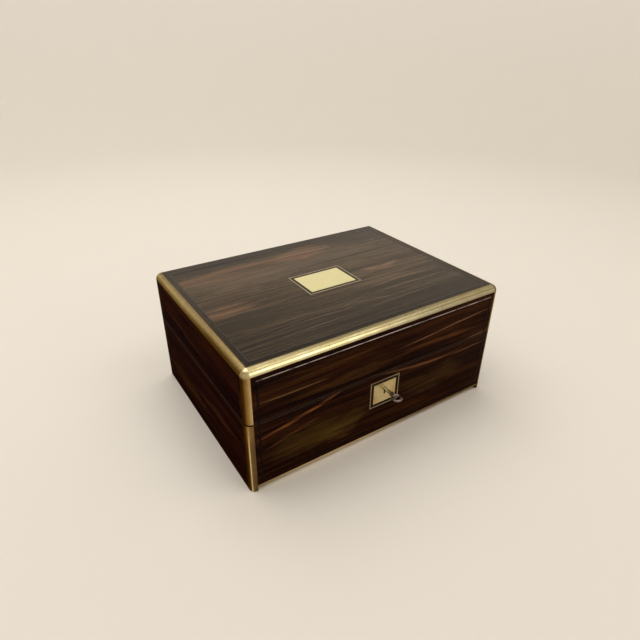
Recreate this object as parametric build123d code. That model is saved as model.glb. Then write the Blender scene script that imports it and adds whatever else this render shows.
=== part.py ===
from build123d import *
import os

os.makedirs("parts", exist_ok=True)

# A brass-edged, coromandel-veneered dressing box, closed, with its key in the lock.
# Millimetres. X runs left to right, Y front to back, Z up. The origin is on the underside, in the middle.

# ---- overall size -----------------------------------------------------------------------------
box_width = 305.0
box_depth = 224.0
box_height = 137.0
seam_height = 80.5            # table to the joint between base and lid
wall = 11.0                   # thickness of every upright board
top_thickness = 8.0
bottom_thickness = 7.0
baize_thickness = 0.8
baize_inset = 1.5
bead_radius = 6.6             # quarter-round brass edging

# ---- inlaid lines and plates ------------------------------------------------------------------
string_inset = 11.2           # edge of the box to the outer side of the ebony line
string_width = 1.5
string_depth = 1.0
string_proud = 0.25
plate_thickness = 1.2
plate_proud = 0.15
lid_plate_width = 56.4
lid_plate_depth = 38.0
lid_plate_border = 3.0        # ebony between the plate and its brass line
escutcheon_width = 28.0
escutcheon_height = 23.4
escutcheon_border = 2.8
escutcheon_below_key = 3.6    # the keyhole's eye sits above the plate's middle
brass_line = 1.8

# ---- fits -------------------------------------------------------------------------------------
running_fit = 0.05            # radial, pins and shafts in their bores
slide_gap = 0.3               # beside a sliding or lifting piece
lip_gap = 0.3                 # between the raised lip and the lid
past = 1.0                    # cutters, and parts to be fused, start this far past a face

# ---- inside the base --------------------------------------------------------------------------
drawer_space = 26.0
deck_thickness = 4.0
lining = 2.5
lip_rise = 4.0
partition = 3.0
partition_below_seam = 4.5
back_row_depth = 58.0
bottle_cell_width = 52.0
pad_thickness = 1.0
pad_inset = 0.3

# ---- drawer -----------------------------------------------------------------------------------
drawer_guide_width = 10.7     # the runner between the drawer and the box on each side
drawer_back_space = 24.0      # behind the closed drawer
drawer_side = 5.0
drawer_headroom = 4.0         # over the drawer's low sides
drawer_bottom = 2.5
drawer_pad = 2.0
knob_radius = 4.6
knob_stand = 10.0
knob_neck_radius = 2.0
knob_tenon = 6.0
knob_foot_radius = 3.7
knob_foot_height = 1.0
roll_radius = 6.5
roll_count = 7
roll_gap = 1.0

# ---- locking pin of the drawer ----------------------------------------------------------------
pin_radius = 1.5
pin_head_radius = 2.6
pin_head_height = 2.6
pin_head_round = 0.8
pin_lid_gap = 1.2             # round the raised head, in the lid's rim
pin_travel = 5.0
pin_from_back = 52.0

# ---- tray -------------------------------------------------------------------------------------
tray_height = 22.0
tray_floor = 2.5
tray_wall = 3.0
tray_side_cell = 78.0
tray_pad_thickness = 3.0
tray_play = 0.5
tray_knob_radius = 3.2
tray_knob_neck_radius = 1.1
tray_knob_height = 5.0
ledge_height = 5.0
ledge_width = 5.0
tray_below_seam = 2.5

# ---- glass and its plated covers --------------------------------------------------------------
vessel_play = 3.0             # all round, between a vessel and its cell
jar_height = 32.0
bottle_height = 32.0
bottle_shoulder = 2.6
glass_wall = 3.5
glass_bottom = 5.0
glass_shoulder = 5.0
glass_corner = 3.0
jar_lid_height = 8.0
jar_cover_edge = 2.6
lid_plug_depth = 3.0
lid_plug_gap = 0.4
neck_radius = 8.0
neck_height = 6.0
neck_bore_radius = 4.5
cap_radius = 10.0
cap_height = 12.0
cap_edge = 1.2

# ---- inside the lid ---------------------------------------------------------------------------
lid_velvet = 1.0
wallet_thickness = 6.0
wallet_side_margin = 23.8     # lid board to the wallet
wallet_front_margin = 21.3
mirror_frame_thickness = 8.0
mirror_bracket_gap = 1.0      # frame to the bracket beside it
mirror_frame_front_gap = 5.0
mirror_frame_back_gap = 7.0
mirror_above_wallet_gap = 1.0
mirror_border = 24.0
mirror_glass_thickness = 2.2
mirror_pivot_radius = 1.5
mirror_pivot_inset = 5.0      # back edge of the frame to the pivot
mirror_pivot_reach = 5.0      # how far a pivot enters the frame
bracket_thickness = 2.0
bracket_size = 12.0

# ---- hinges -----------------------------------------------------------------------------------
hinge_end_inset = 38.5        # side of the box to the end of a hinge
hinge_length = 38.0
hinge_leaf = 1.6
hinge_leaf_depth = 9.0
hinge_pin_radius = 1.15
knuckle_radius = 2.4
knuckle_count = 5
knuckle_gap = 0.2
knuckle_relief = 0.3
axis_behind_back = 0.4

# ---- screws in the rims -----------------------------------------------------------------------
screw_head_radius = 1.9
screw_head_height = 1.1
screw_shank_radius = 1.0
screw_length = 7.0
screw_end = 6.0               # end of a hinge to its first screw

# ---- lock and key -----------------------------------------------------------------------------
lock_width = 50.0
lock_below_key = 10.0
lock_depth = 7.0
lock_sheet = 0.8
selvedge_ear = 7.0            # the rim plate's reach past the lock at each end
selvedge_lap = 1.5            # and in front of it
selvedge_thickness = 1.6
key_shank_radius = 1.7
key_bore_radius = 1.0
key_bore_depth = 8.0
key_bow_radius = 5.9
key_bow_wire_radius = 1.2
key_bow_stand = 18.6          # front of the box to the middle of the bow
key_collar_radius = 2.5
key_collar_length = 1.6
key_collar_gap = 0.8          # bow to collar
key_bit_reach = 6.2
key_bit_length = 4.2
key_bit_thickness = 1.6
board_keyhole_play = 0.8      # the hole in the board is wider than the one in the plate
bolt_throw = 6.0
bolt_bar_height = 5.0
bolt_tongue = 2.4
bit_overlap = 1.6             # how far the key's bit reaches into the bolt's notch
notch_play = 1.8
notch_gap = 0.6
hook_bolt_gap = 1.4
hook_thickness = 2.0
hook_width = 4.4
hook_drop = 9.0
hook_eye = 3.4
hook_gap = 0.8                # tongue to hook while the box is unlocked

# ---- worked-out positions ---------------------------------------------------------------------
half_width = box_width / 2
half_depth = box_depth / 2
base_low = baize_thickness
inner_x = half_width - wall
inner_y = half_depth - wall
lid_inner_x = inner_x + lip_gap
lid_inner_y = inner_y + lip_gap
field_x = half_width - bead_radius          # where the brass edging meets the veneer
field_y = half_depth - bead_radius
field_top = box_height - bead_radius
field_low = base_low + bead_radius
ceiling = box_height - top_thickness
floor_z = base_low + bottom_thickness
deck_low = floor_z + drawer_space
deck_top = deck_low + deck_thickness
drawer_opening = inner_y - drawer_guide_width
cell_x = inner_x - lining
cell_y = inner_y - lining
rail_back = cell_y - back_row_depth
rail_front = rail_back - partition
partition_top = seam_height - partition_below_seam
bolt_high = seam_height - hook_drop - hook_bolt_gap
bolt_low = bolt_high - bolt_bar_height
key_z = bolt_low + bit_overlap - key_bit_reach
escutcheon_z = key_z - escutcheon_below_key
hinge_y = half_depth + axis_behind_back
hinge_screw_y = half_depth - wall / 2
sides = (-1, 1)
hinge_places = [side * (half_width - hinge_end_inset - hinge_length / 2) for side in sides]


def block(x, y, z):
    # a box between two limits on each axis
    size = [abs(limit[1] - limit[0]) for limit in (x, y, z)]
    middle = [(limit[1] + limit[0]) / 2 for limit in (x, y, z)]
    return Pos(*middle) * Box(*size)


def mirrored(x_limits, side):
    # the same limits on the left (-1) or on the right (+1)
    return tuple(sorted(side * limit for limit in x_limits))


def shrunk(limits, margin):
    return (limits[0] + margin, limits[1] - margin)


def about(middle, size):
    # limits on both sides of a middle
    return (middle - size / 2, middle + size / 2)


def rod(radius, start, end):
    along = Vector(*end) - Vector(*start)
    return Solid.make_cylinder(radius, along.length, Plane(origin=Vector(*start), z_dir=along))


def frame_of(outer, width, low, high):
    # a flat rectangular line: outer half sizes, its width, and its limits in height
    outer_x, outer_y = outer
    inner_x, inner_y = outer_x - width, outer_y - width
    whole = block((-outer_x, outer_x), (-outer_y, outer_y), (low, high))
    return whole - block((-inner_x, inner_x), (-inner_y, inner_y), (low - past, high + past))


def save(name, *solids):
    shape = solids[0] if len(solids) == 1 else Compound(list(solids))
    export_step(shape, f"parts/{name}.step")


# ---- brass edging -----------------------------------------------------------------------------
front_reach = (-half_depth - past, -field_y)     # from past the front to the back of its edging
top_reach = (field_top, box_height + past)
side_reach = (field_x, half_width + past)


def lid_front_bead():
    bar = rod(bead_radius, (-field_x, -field_y, field_top), (field_x, -field_y, field_top))
    return bar & block((-field_x, field_x), front_reach, top_reach)


def lid_side_bead(side):
    bar = rod(bead_radius, (side * field_x, -field_y, field_top), (side * field_x, half_depth, field_top))
    return bar & block(mirrored(side_reach, side), (-field_y, half_depth), top_reach)


def lid_corner_bead(side):
    # an upright quarter round that ends in a rounded corner where the edges meet
    bar = rod(bead_radius, (side * field_x, -field_y, seam_height), (side * field_x, -field_y, field_top))
    ball = Pos(side * field_x, -field_y, field_top) * Sphere(bead_radius)
    return (bar + ball) & block(mirrored(side_reach, side), front_reach, (0, box_height + past))


def base_corner_bead(side):
    # the same quarter round, run straight down to the underside
    bar = rod(bead_radius, (side * field_x, -field_y, base_low), (side * field_x, -field_y, seam_height))
    return bar & block(mirrored(side_reach, side), front_reach, (0, box_height + past))


def base_front_bead():
    bar = rod(bead_radius, (-field_x, -field_y, field_low), (field_x, -field_y, field_low))
    return bar & block((-field_x, field_x), front_reach, (0, field_low))


def upright_bead_rebates(low, high):
    left, right = [block(mirrored(side_reach, side), front_reach, (low, high)) for side in sides]
    return left + right


# ---- ebony lines ------------------------------------------------------------------------------
def lid_top_string(grow=0.0):
    outer = (half_width - string_inset, half_depth - string_inset)
    return frame_of(outer, string_width, box_height - string_depth, box_height + string_proud + grow)


def front_string(low, high, grow=0.0):
    # the line round the front, cut off at the seam: low and high limit the part that is kept
    outer_x = half_width - string_inset
    line_low = base_low + string_inset
    line_high = box_height - string_inset
    y_limits = (-half_depth - string_proud - grow, -half_depth + string_depth)
    whole = block((-outer_x, outer_x), y_limits, (line_low, line_high))
    inside = block(
        (string_width - outer_x, outer_x - string_width),
        (y_limits[0] - past, y_limits[1] + past),
        (line_low + string_width, line_high - string_width),
    )
    return (whole - inside) & block((-half_width, half_width), (-half_depth - wall, 0), (low, high))


# ---- plates -----------------------------------------------------------------------------------
def lid_plate_half(extra):
    return (lid_plate_width / 2 + extra, lid_plate_depth / 2 + extra)


def lid_plate():
    x, y = lid_plate_half(0)
    return block((-x, x), (-y, y), (box_height - plate_thickness, box_height + plate_proud))


def lid_plate_ebony():
    outer = lid_plate_half(lid_plate_border)
    return frame_of(outer, lid_plate_border, box_height - plate_thickness, box_height)


def lid_plate_line():
    outer = lid_plate_half(lid_plate_border + brass_line)
    return frame_of(outer, brass_line, box_height - plate_thickness, box_height + plate_proud)


def lid_plate_recess():
    x, y = lid_plate_half(lid_plate_border + brass_line)
    return block((-x, x), (-y, y), (box_height - plate_thickness, box_height + past))


def on_front(shape):
    # lays a flat piece made on the XY plane against the front, upright, round the escutcheon's middle
    return Pos(0, -half_depth, escutcheon_z) * Rot(90, 0, 0) * shape


def escutcheon_half(extra):
    return (escutcheon_width / 2 + extra, escutcheon_height / 2 + extra)


def keyhole(y_limits, play=0.0):
    # a round eye for the shank, with a slot below it for the bit
    gap = slide_gap + play
    eye = rod(key_shank_radius + gap, (0, y_limits[0], key_z), (0, y_limits[1], key_z))
    half_slot = key_bit_thickness / 2 + gap
    return eye + block((-half_slot, half_slot), y_limits, (key_z - key_bit_reach - gap, key_z))


def escutcheon_plate():
    x, y = escutcheon_half(0)
    plate = on_front(block((-x, x), (-y, y), (-plate_thickness, plate_proud)))
    return plate - keyhole((-half_depth - past, -half_depth + plate_thickness + past))


def escutcheon_ebony():
    return on_front(frame_of(escutcheon_half(escutcheon_border), escutcheon_border, -plate_thickness, 0))


def escutcheon_line():
    outer = escutcheon_half(escutcheon_border + brass_line)
    return on_front(frame_of(outer, brass_line, -plate_thickness, plate_proud))


def escutcheon_recess():
    x, y = escutcheon_half(escutcheon_border + brass_line)
    return on_front(block((-x, x), (-y, y), (-plate_thickness, past)))


# ---- hinges -----------------------------------------------------------------------------------
def on_axis(radius, start_x, end_x):
    # a rod on the axis that the lid turns about
    return rod(radius, (start_x, hinge_y, seam_height), (end_x, hinge_y, seam_height))


def knuckle_limits(middle, index):
    length = hinge_length / knuckle_count
    start = middle - hinge_length / 2 + index * length
    return (start, start + length)


def hinge_leaf_plate(middle, level):
    # level is +1 for the leaf in the lid and -1 for the leaf in the base
    x_limits = (middle - hinge_length / 2, middle + hinge_length / 2)
    z_limits = tuple(sorted((seam_height, seam_height + level * hinge_leaf)))
    return block(x_limits, (half_depth - hinge_leaf_depth, hinge_y), z_limits)


def hinge_leaf_solid(middle, level):
    leaf = hinge_leaf_plate(middle, level)
    own = 0 if level < 0 else 1
    for index in range(own, knuckle_count, 2):
        start, end = knuckle_limits(middle, index)
        leaf += on_axis(knuckle_radius, start + knuckle_gap / 2, end - knuckle_gap / 2)
    for index in range(1 - own, knuckle_count, 2):
        leaf -= on_axis(knuckle_radius + knuckle_relief, *knuckle_limits(middle, index))
    leaf -= on_axis(hinge_pin_radius + running_fit, middle - hinge_length, middle + hinge_length)
    for x in screw_row(middle):
        leaf -= screw(x, hinge_screw_y, level)
    return leaf


def hinge_pin(middle):
    return on_axis(hinge_pin_radius, middle - hinge_length / 2, middle + hinge_length / 2)


def knuckle_space():
    # what a rim loses to the turning knuckles
    reach = hinge_length / 2 + knuckle_gap
    left, right = [
        on_axis(knuckle_radius + knuckle_relief, middle - reach, middle + reach) for middle in hinge_places
    ]
    return left + right


def screw_row(middle):
    pitch = hinge_length / 2 - screw_end
    return [middle - pitch, middle, middle + pitch]


def screw(x, y, level):
    # a screw with its head let in flush with a rim plate; level +1 points up into the lid
    top = (x, y, seam_height)
    head = rod(screw_head_radius, top, (x, y, seam_height + level * screw_head_height))
    return head + rod(screw_shank_radius, top, (x, y, seam_height + level * screw_length))


# ---- lock -------------------------------------------------------------------------------------
lock_back = -inner_y          # the lock's back is flush with the inside of the board
lock_front = lock_back - lock_depth
lock_low = key_z - lock_below_key
lock_half = lock_width / 2
post_radius = key_bore_radius - running_fit
lock_inside_half = lock_half - lock_sheet
lock_inside_front = lock_front + lock_sheet
lock_inside_back = lock_back - lock_sheet
lock_inside_middle = (lock_inside_front + lock_inside_back) / 2
selvedge_half = lock_half + selvedge_ear
selvedge_front = lock_front - selvedge_lap
selvedge_middle = (selvedge_front + lock_back) / 2
selvedge_low = seam_height - selvedge_thickness
tongue_z = seam_height - hook_drop + hook_eye / 2 + hook_thickness / 2
hook_x = lock_inside_half - slide_gap - bolt_tongue - bolt_throw - hook_gap - hook_thickness / 2
hook_places = (-hook_x, hook_x)
rim_plate_screws = [side * (lock_half + selvedge_ear / 2) for side in sides]


def hook_slots():
    y_limits = about(lock_inside_middle, hook_width + 2 * slide_gap)
    z_limits = (selvedge_low - past, seam_height + past)
    left, right = [block(about(x, hook_thickness + 4 * slide_gap), y_limits, z_limits) for x in hook_places]
    return left + right


def lock_case():
    # a brass box with its top plate spread along the rim
    outside = block((-lock_half, lock_half), (lock_front, lock_back), (lock_low, seam_height))
    inside = block(
        (-lock_inside_half, lock_inside_half),
        (lock_inside_front, lock_inside_back),
        (lock_low + lock_sheet, selvedge_low),
    )
    top = block((-selvedge_half, selvedge_half), (selvedge_front, lock_back), (selvedge_low, seam_height))
    case = outside - inside + top - hook_slots()
    case -= keyhole((lock_front - past, lock_inside_front + past))
    case -= rod(post_radius, (0, lock_inside_back - past, key_z), (0, lock_back + past, key_z))
    for x in rim_plate_screws:
        case -= screw(x, selvedge_middle, -1)
    return case


def lock_post():
    # the pin that the hollow key turns on, riveted into the back of the lock
    return rod(post_radius, (0, lock_inside_front, key_z), (0, lock_back, key_z))


def lock_bolt():
    y_limits = (lock_inside_front + slide_gap, lock_inside_back - slide_gap)
    reach = lock_inside_half - slide_gap
    bolt = block((bolt_throw - reach, reach), y_limits, (bolt_low, bolt_high))
    notch_x = (-notch_play, key_bit_reach + notch_play)
    bolt -= block(notch_x, y_limits, (bolt_low - past, key_z + key_bit_reach + notch_gap))
    tongue_y = about(lock_inside_middle, bolt_tongue)
    for x in hook_places:
        tip = x + hook_thickness / 2 + hook_gap
        root = tip + bolt_throw
        bolt += block((tip, root + bolt_tongue), tongue_y, about(tongue_z, bolt_tongue))
        bolt += block((root, root + bolt_tongue), tongue_y, (bolt_high - past, tongue_z))
    return bolt


def link_plate():
    # the plate on the lid's rim, with the two hooks that drop into the lock
    top = seam_height + selvedge_thickness
    plate = block((-selvedge_half, selvedge_half), (selvedge_front, -lid_inner_y), (seam_height, top))
    hook_y = about(lock_inside_middle, hook_width)
    eye_y = about(lock_inside_middle, hook_eye)
    for x in hook_places:
        hook = block(about(x, hook_thickness), hook_y, (seam_height - hook_drop, top))
        plate += hook - block(about(x, 2 * hook_thickness), eye_y, about(tongue_z, hook_eye))
    for x in rim_plate_screws:
        plate -= screw(x, selvedge_middle, 1)
    return plate


def key():
    # a small pipe key, its ring bow lying level, its bit pointing right inside the lock
    bow_y = -half_depth - key_bow_stand
    tip_y = lock_inside_back - slide_gap
    ring_radius = key_bow_radius - key_bow_wire_radius
    ring = Pos(0, bow_y, key_z) * Torus(ring_radius, key_bow_wire_radius)
    shank = rod(key_shank_radius, (0, bow_y + ring_radius, key_z), (0, tip_y, key_z))
    collar_y = bow_y + key_bow_radius + key_collar_gap
    collar = rod(key_collar_radius, (0, collar_y, key_z), (0, collar_y + key_collar_length, key_z))
    bit_y = about(lock_inside_middle, key_bit_length)
    bit = block((0, key_bit_reach), bit_y, about(key_z, key_bit_thickness))
    whole = ring + shank + collar + bit
    return whole - rod(key_bore_radius, (0, tip_y - key_bore_depth, key_z), (0, tip_y + past, key_z))


# ---- locking pin ------------------------------------------------------------------------------
pin_x = half_width - wall / 2
pin_y = half_depth - pin_from_back
pin_end_raised = deck_low + slide_gap


def drawer_pin():
    shank = rod(pin_radius, (pin_x, pin_y, pin_end_raised), (pin_x, pin_y, seam_height + slide_gap))
    head = rod(pin_head_radius, (pin_x, pin_y, seam_height), (pin_x, pin_y, seam_height + pin_head_height))
    crown = head.edges().filter_by(GeomType.CIRCLE).sort_by(Axis.Z)[-1:]
    return shank + fillet(crown, pin_head_round)


def pin_bore():
    top = seam_height + past
    sink_low = seam_height - pin_travel - slide_gap
    bore = rod(pin_radius + running_fit, (pin_x, pin_y, floor_z), (pin_x, pin_y, top))
    return bore + rod(pin_head_radius + slide_gap, (pin_x, pin_y, sink_low), (pin_x, pin_y, top))


def pin_space_in_lid():
    top = seam_height + pin_head_height + slide_gap
    return rod(pin_head_radius + pin_lid_gap, (pin_x, pin_y, seam_height - past), (pin_x, pin_y, top))


# ---- boards of the base -----------------------------------------------------------------------
def base_front_board():
    board = block((-half_width, half_width), (-half_depth, -inner_y), (base_low, seam_height))
    top = seam_height + past
    board -= upright_bead_rebates(0, top)
    board -= block((-half_width, half_width), front_reach, (0, field_low))
    board -= front_string(base_low, seam_height, grow=past)
    board -= escutcheon_recess()
    board -= block((-lock_half, lock_half), (lock_front, lock_back + past), (lock_low, top))
    board -= block((-selvedge_half, selvedge_half), (selvedge_front, lock_back + past), (selvedge_low, top))
    board -= keyhole((-half_depth, lock_front + past), board_keyhole_play)
    for x in rim_plate_screws:
        board -= screw(x, selvedge_middle, -1)
    return board


def rim_screws(level):
    hinge_screws = [screw(x, hinge_screw_y, level) for middle in hinge_places for x in screw_row(middle)]
    return hinge_screws + [screw(x, selvedge_middle, level) for x in rim_plate_screws]


def base_back_board():
    board = block((-half_width, half_width), (inner_y, half_depth), (base_low, seam_height))
    board -= knuckle_space()
    for middle in hinge_places:
        board -= hinge_leaf_plate(middle, -1)
        for x in screw_row(middle):
            board -= screw(x, hinge_screw_y, -1)
    return board


def base_side_board(side):
    board = block(mirrored((inner_x, half_width), side), (-inner_y, inner_y), (base_low, seam_height))
    if side > 0:
        opening_x = (inner_x - past, half_width + past)
        board -= block(opening_x, (-drawer_opening, drawer_opening), (floor_z, deck_low))
        board -= pin_bore()
    return board


def base_bottom():
    return block((-inner_x, inner_x), (-inner_y, inner_y), (base_low, floor_z))


def underside_baize():
    x = half_width - baize_inset
    return block((-x, x), (-field_y, half_depth - baize_inset), (0, baize_thickness))


def drawer_deck():
    return block((-inner_x, inner_x), (-inner_y, inner_y), (deck_low, deck_top))


def drawer_guide(side):
    return block((-inner_x, inner_x), mirrored((drawer_opening, inner_y), side), (floor_z, deck_low))


def lining_boards():
    # thin facings round the inside; their tops stand up as the lip that the lid closes over
    top = seam_height + lip_rise
    along_x = [block((-inner_x, inner_x), mirrored((cell_y, inner_y), s), (deck_top, top)) for s in sides]
    along_y = [block(mirrored((cell_x, inner_x), s), (-cell_y, cell_y), (deck_top, top)) for s in sides]
    return along_x + along_y


# ---- cells ------------------------------------------------------------------------------------
def cell_limits():
    # the back row: a wide cell at each end and two bottle cells in the middle
    middle = partition / 2
    inner = middle + bottle_cell_width
    return [(-cell_x, -inner - partition), (-inner, -middle), (middle, inner), (inner + partition, cell_x)]


def partitions():
    boards = [block((-cell_x, cell_x), (rail_front, rail_back), (deck_top, partition_top))]
    cells = cell_limits()
    for left, right in zip(cells[:-1], cells[1:]):
        boards.append(block((left[1], right[0]), (rail_back, cell_y), (deck_top, partition_top)))
    return boards


def cell_pads():
    spaces = [(limits, (rail_back, cell_y)) for limits in cell_limits()]
    spaces.append(((-cell_x, cell_x), (-cell_y, rail_front)))
    pads = []
    for x, y in spaces:
        z = (deck_top, deck_top + pad_thickness)
        pads.append(block(shrunk(x, pad_inset), shrunk(y, pad_inset), z))
    return pads


# ---- glass vessels ----------------------------------------------------------------------------
vessel_low = deck_top + pad_thickness
vessel_y = shrunk((rail_back, cell_y), vessel_play)
jar_top = vessel_low + jar_height
shoulder = vessel_low + bottle_height


def vessel_x(cell):
    return shrunk(cell_limits()[cell], vessel_play)


def upright_block(x, y, z, radius):
    solid = block(x, y, z)
    return fillet(solid.edges().filter_by(Axis.Z), radius)


def jar_glass(cell):
    x = vessel_x(cell)
    outside = upright_block(x, vessel_y, (vessel_low, jar_top), glass_corner)
    z = (vessel_low + glass_bottom, jar_top + past)
    return outside - block(shrunk(x, glass_wall), shrunk(vessel_y, glass_wall), z)


def jar_cover(cell):
    # a plated cover with a raised cushion top, and a plug that sits inside the glass
    x = vessel_x(cell)
    cover = upright_block(x, vessel_y, (jar_top, jar_top + jar_lid_height), glass_corner)
    cover = fillet(cover.faces().sort_by(Axis.Z)[-1].edges(), jar_cover_edge)
    plug_x = shrunk(x, glass_wall + lid_plug_gap)
    plug_y = shrunk(vessel_y, glass_wall + lid_plug_gap)
    return cover + block(plug_x, plug_y, (jar_top - lid_plug_depth, jar_top + past))


def bottle_middle(cell):
    left, right = vessel_x(cell)
    return ((left + right) / 2, sum(vessel_y) / 2)


def bottle_glass(cell):
    # a square bottle, as deep as it is wide, with a round neck
    x_middle, y_middle = bottle_middle(cell)
    x = vessel_x(cell)
    y = about(y_middle, x[1] - x[0])
    body = upright_block(x, y, (vessel_low, shoulder), glass_corner)
    body = fillet(body.faces().sort_by(Axis.Z)[-1].edges(), bottle_shoulder)
    neck_top = shoulder + neck_height
    body += rod(neck_radius, (x_middle, y_middle, shoulder - past), (x_middle, y_middle, neck_top))
    hollow_top = shoulder - glass_shoulder
    body -= block(shrunk(x, glass_wall), shrunk(y, glass_wall), (vessel_low + glass_bottom, hollow_top))
    bore_ends = [(x_middle, y_middle, hollow_top - past), (x_middle, y_middle, neck_top + past)]
    return body - rod(neck_bore_radius, *bore_ends)


def bottle_cap(cell):
    # a plated cap over the neck, with a short stopper inside it
    x, y = bottle_middle(cell)
    outside = rod(cap_radius, (x, y, shoulder), (x, y, shoulder + cap_height))
    outside = fillet(outside.edges().filter_by(GeomType.CIRCLE).sort_by(Axis.Z)[-1:], cap_edge)
    neck_top = shoulder + neck_height
    cap = outside - rod(neck_radius + slide_gap, (x, y, shoulder - past), (x, y, neck_top))
    stopper_ends = [(x, y, neck_top - lid_plug_depth), (x, y, neck_top + past)]
    return cap + rod(neck_bore_radius - slide_gap, *stopper_ends)


# ---- tray -------------------------------------------------------------------------------------
tray_top = seam_height - tray_below_seam
tray_low = tray_top - tray_height
tray_x = cell_x - tray_play
tray_y = (-cell_y + tray_play, rail_front - tray_play)


def tray_ledge(side):
    x_limits = mirrored((cell_x - ledge_width, cell_x), side)
    return block(x_limits, (-cell_y, rail_front), (tray_low - ledge_height, tray_low))


def tray_base():
    return block((-tray_x, tray_x), tray_y, (tray_low, tray_low + tray_floor))


def tray_cells():
    inner = tray_x - tray_wall
    divide = inner - tray_side_cell
    return [(-inner, -divide - tray_wall), (-divide, divide), (divide + tray_wall, inner)]


def tray_sides():
    z = (tray_low + tray_floor, tray_top)
    inner_limits = shrunk(tray_y, tray_wall)
    boards = [
        block((-tray_x, tray_x), (tray_y[0], inner_limits[0]), z),
        block((-tray_x, tray_x), (inner_limits[1], tray_y[1]), z),
    ]
    for side in sides:
        boards.append(block(mirrored((tray_x - tray_wall, tray_x), side), inner_limits, z))
    cells = tray_cells()
    for left, right in zip(cells[:-1], cells[1:]):
        boards.append(block((left[1], right[0]), inner_limits, (z[0], z[1] - tray_wall)))
    return boards


def tray_pads():
    pads = []
    for x in tray_cells():
        y = shrunk(tray_y, tray_wall + pad_inset)
        z = (tray_low + tray_floor, tray_low + tray_floor + tray_pad_thickness)
        pads.append(block(shrunk(x, pad_inset), y, z))
    return pads


def tray_knob(side):
    # a small turned lifter on top of a divider
    cells = tray_cells()
    x = side * (cells[2][0] - tray_wall / 2)
    y = sum(tray_y) / 2
    foot = tray_top - tray_wall
    neck = rod(tray_knob_neck_radius, (x, y, foot), (x, y, foot + tray_knob_height))
    return neck + Pos(x, y, foot + tray_knob_height) * Sphere(tray_knob_radius)


# ---- drawer -----------------------------------------------------------------------------------
drawer_back_x = -inner_x + drawer_back_space
drawer_half = drawer_opening - slide_gap
knob_z = (floor_z + deck_low) / 2


def drawer_front():
    z = (floor_z + slide_gap, deck_low - slide_gap)
    front = block((inner_x, half_width), (-drawer_half, drawer_half), z)
    pin_hole_low = z[1] - pin_travel - slide_gap
    front -= rod(pin_radius + slide_gap, (pin_x, pin_y, pin_hole_low), (pin_x, pin_y, z[1] + past))
    tenon_hole = rod(knob_neck_radius, (half_width - knob_tenon, 0, knob_z), (half_width + past, 0, knob_z))
    return front - tenon_hole


def drawer_sides():
    z = (floor_z, deck_low - drawer_headroom)
    y = drawer_half - drawer_side
    boards = [block((drawer_back_x, inner_x), mirrored((y, drawer_half), side), z) for side in sides]
    boards.append(block((drawer_back_x, drawer_back_x + drawer_side), (-y, y), z))
    return boards


def drawer_base():
    y = drawer_half - drawer_side
    return block((drawer_back_x + drawer_side, inner_x), (-y, y), (floor_z, floor_z + drawer_bottom))


def roll_block_length():
    return roll_count * 2 * roll_radius + (roll_count - 1) * roll_gap


def drawer_pad_solid():
    y = drawer_half - drawer_side - pad_inset
    x = (drawer_back_x + drawer_side + pad_inset, inner_x - roll_block_length() - 2 * roll_gap)
    return block(x, (-y, y), (floor_z + drawer_bottom, floor_z + drawer_bottom + drawer_pad))


def ring_rolls():
    # padded bars across the drawer, with rings pushed between them
    y = drawer_half - drawer_side - 2 * pad_inset
    low = floor_z + drawer_bottom
    rolls = []
    for index in range(roll_count):
        x = inner_x - roll_gap - roll_radius - index * (2 * roll_radius + roll_gap)
        lower = block((x - roll_radius, x + roll_radius), (-y, y), (low, low + roll_radius))
        rolls.append(lower + rod(roll_radius, (x, -y, low + roll_radius), (x, y, low + roll_radius)))
    return rolls


def drawer_knob():
    ball_x = half_width + knob_stand - knob_radius
    neck = rod(knob_neck_radius, (half_width - knob_tenon, 0, knob_z), (ball_x, 0, knob_z))
    foot = rod(knob_foot_radius, (half_width, 0, knob_z), (half_width + knob_foot_height, 0, knob_z))
    return neck + foot + Pos(ball_x, 0, knob_z) * Sphere(knob_radius)


# ---- boards of the lid ------------------------------------------------------------------------
def lid_top_board():
    upper = block((-field_x, field_x), (-field_y, half_depth), (field_top, box_height))
    lower = block((-lid_inner_x, lid_inner_x), (-lid_inner_y, lid_inner_y), (ceiling, field_top))
    return upper + lower - lid_top_string(grow=past) - lid_plate_recess()


def lid_front_board():
    board = block((-half_width, half_width), (-half_depth, -lid_inner_y), (seam_height, field_top))
    board -= upright_bead_rebates(seam_height - past, field_top + past)
    board -= front_string(seam_height, box_height, grow=past)
    rebate_z = (seam_height - past, seam_height + selvedge_thickness)
    board -= block((-selvedge_half, selvedge_half), (selvedge_front, past - lid_inner_y), rebate_z)
    for x in rim_plate_screws:
        board -= screw(x, selvedge_middle, 1)
    return board


def lid_back_board():
    board = block((-half_width, half_width), (lid_inner_y, half_depth), (seam_height, field_top))
    board -= knuckle_space()
    for middle in hinge_places:
        board -= hinge_leaf_plate(middle, 1)
        for x in screw_row(middle):
            board -= screw(x, hinge_screw_y, 1)
    return board


def lid_side_board(side):
    x_limits = mirrored((lid_inner_x, half_width), side)
    board = block(x_limits, (-lid_inner_y, lid_inner_y), (seam_height, field_top))
    return board - pin_space_in_lid() if side > 0 else board


# ---- inside the lid ---------------------------------------------------------------------------
velvet_low = ceiling - lid_velvet
wallet_low = velvet_low - wallet_thickness
frame_high = wallet_low - mirror_above_wallet_gap
frame_low = frame_high - mirror_frame_thickness
frame_x = lid_inner_x - bracket_thickness - mirror_bracket_gap
frame_front = -lid_inner_y + mirror_frame_front_gap
frame_back = lid_inner_y - mirror_frame_back_gap
pivot_y = frame_back - mirror_pivot_inset
pivot_z = (frame_low + frame_high) / 2


def lid_lining():
    x, y = lid_inner_x - pad_inset, lid_inner_y - pad_inset
    return block((-x, x), (-y, y), (velvet_low, ceiling))


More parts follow.
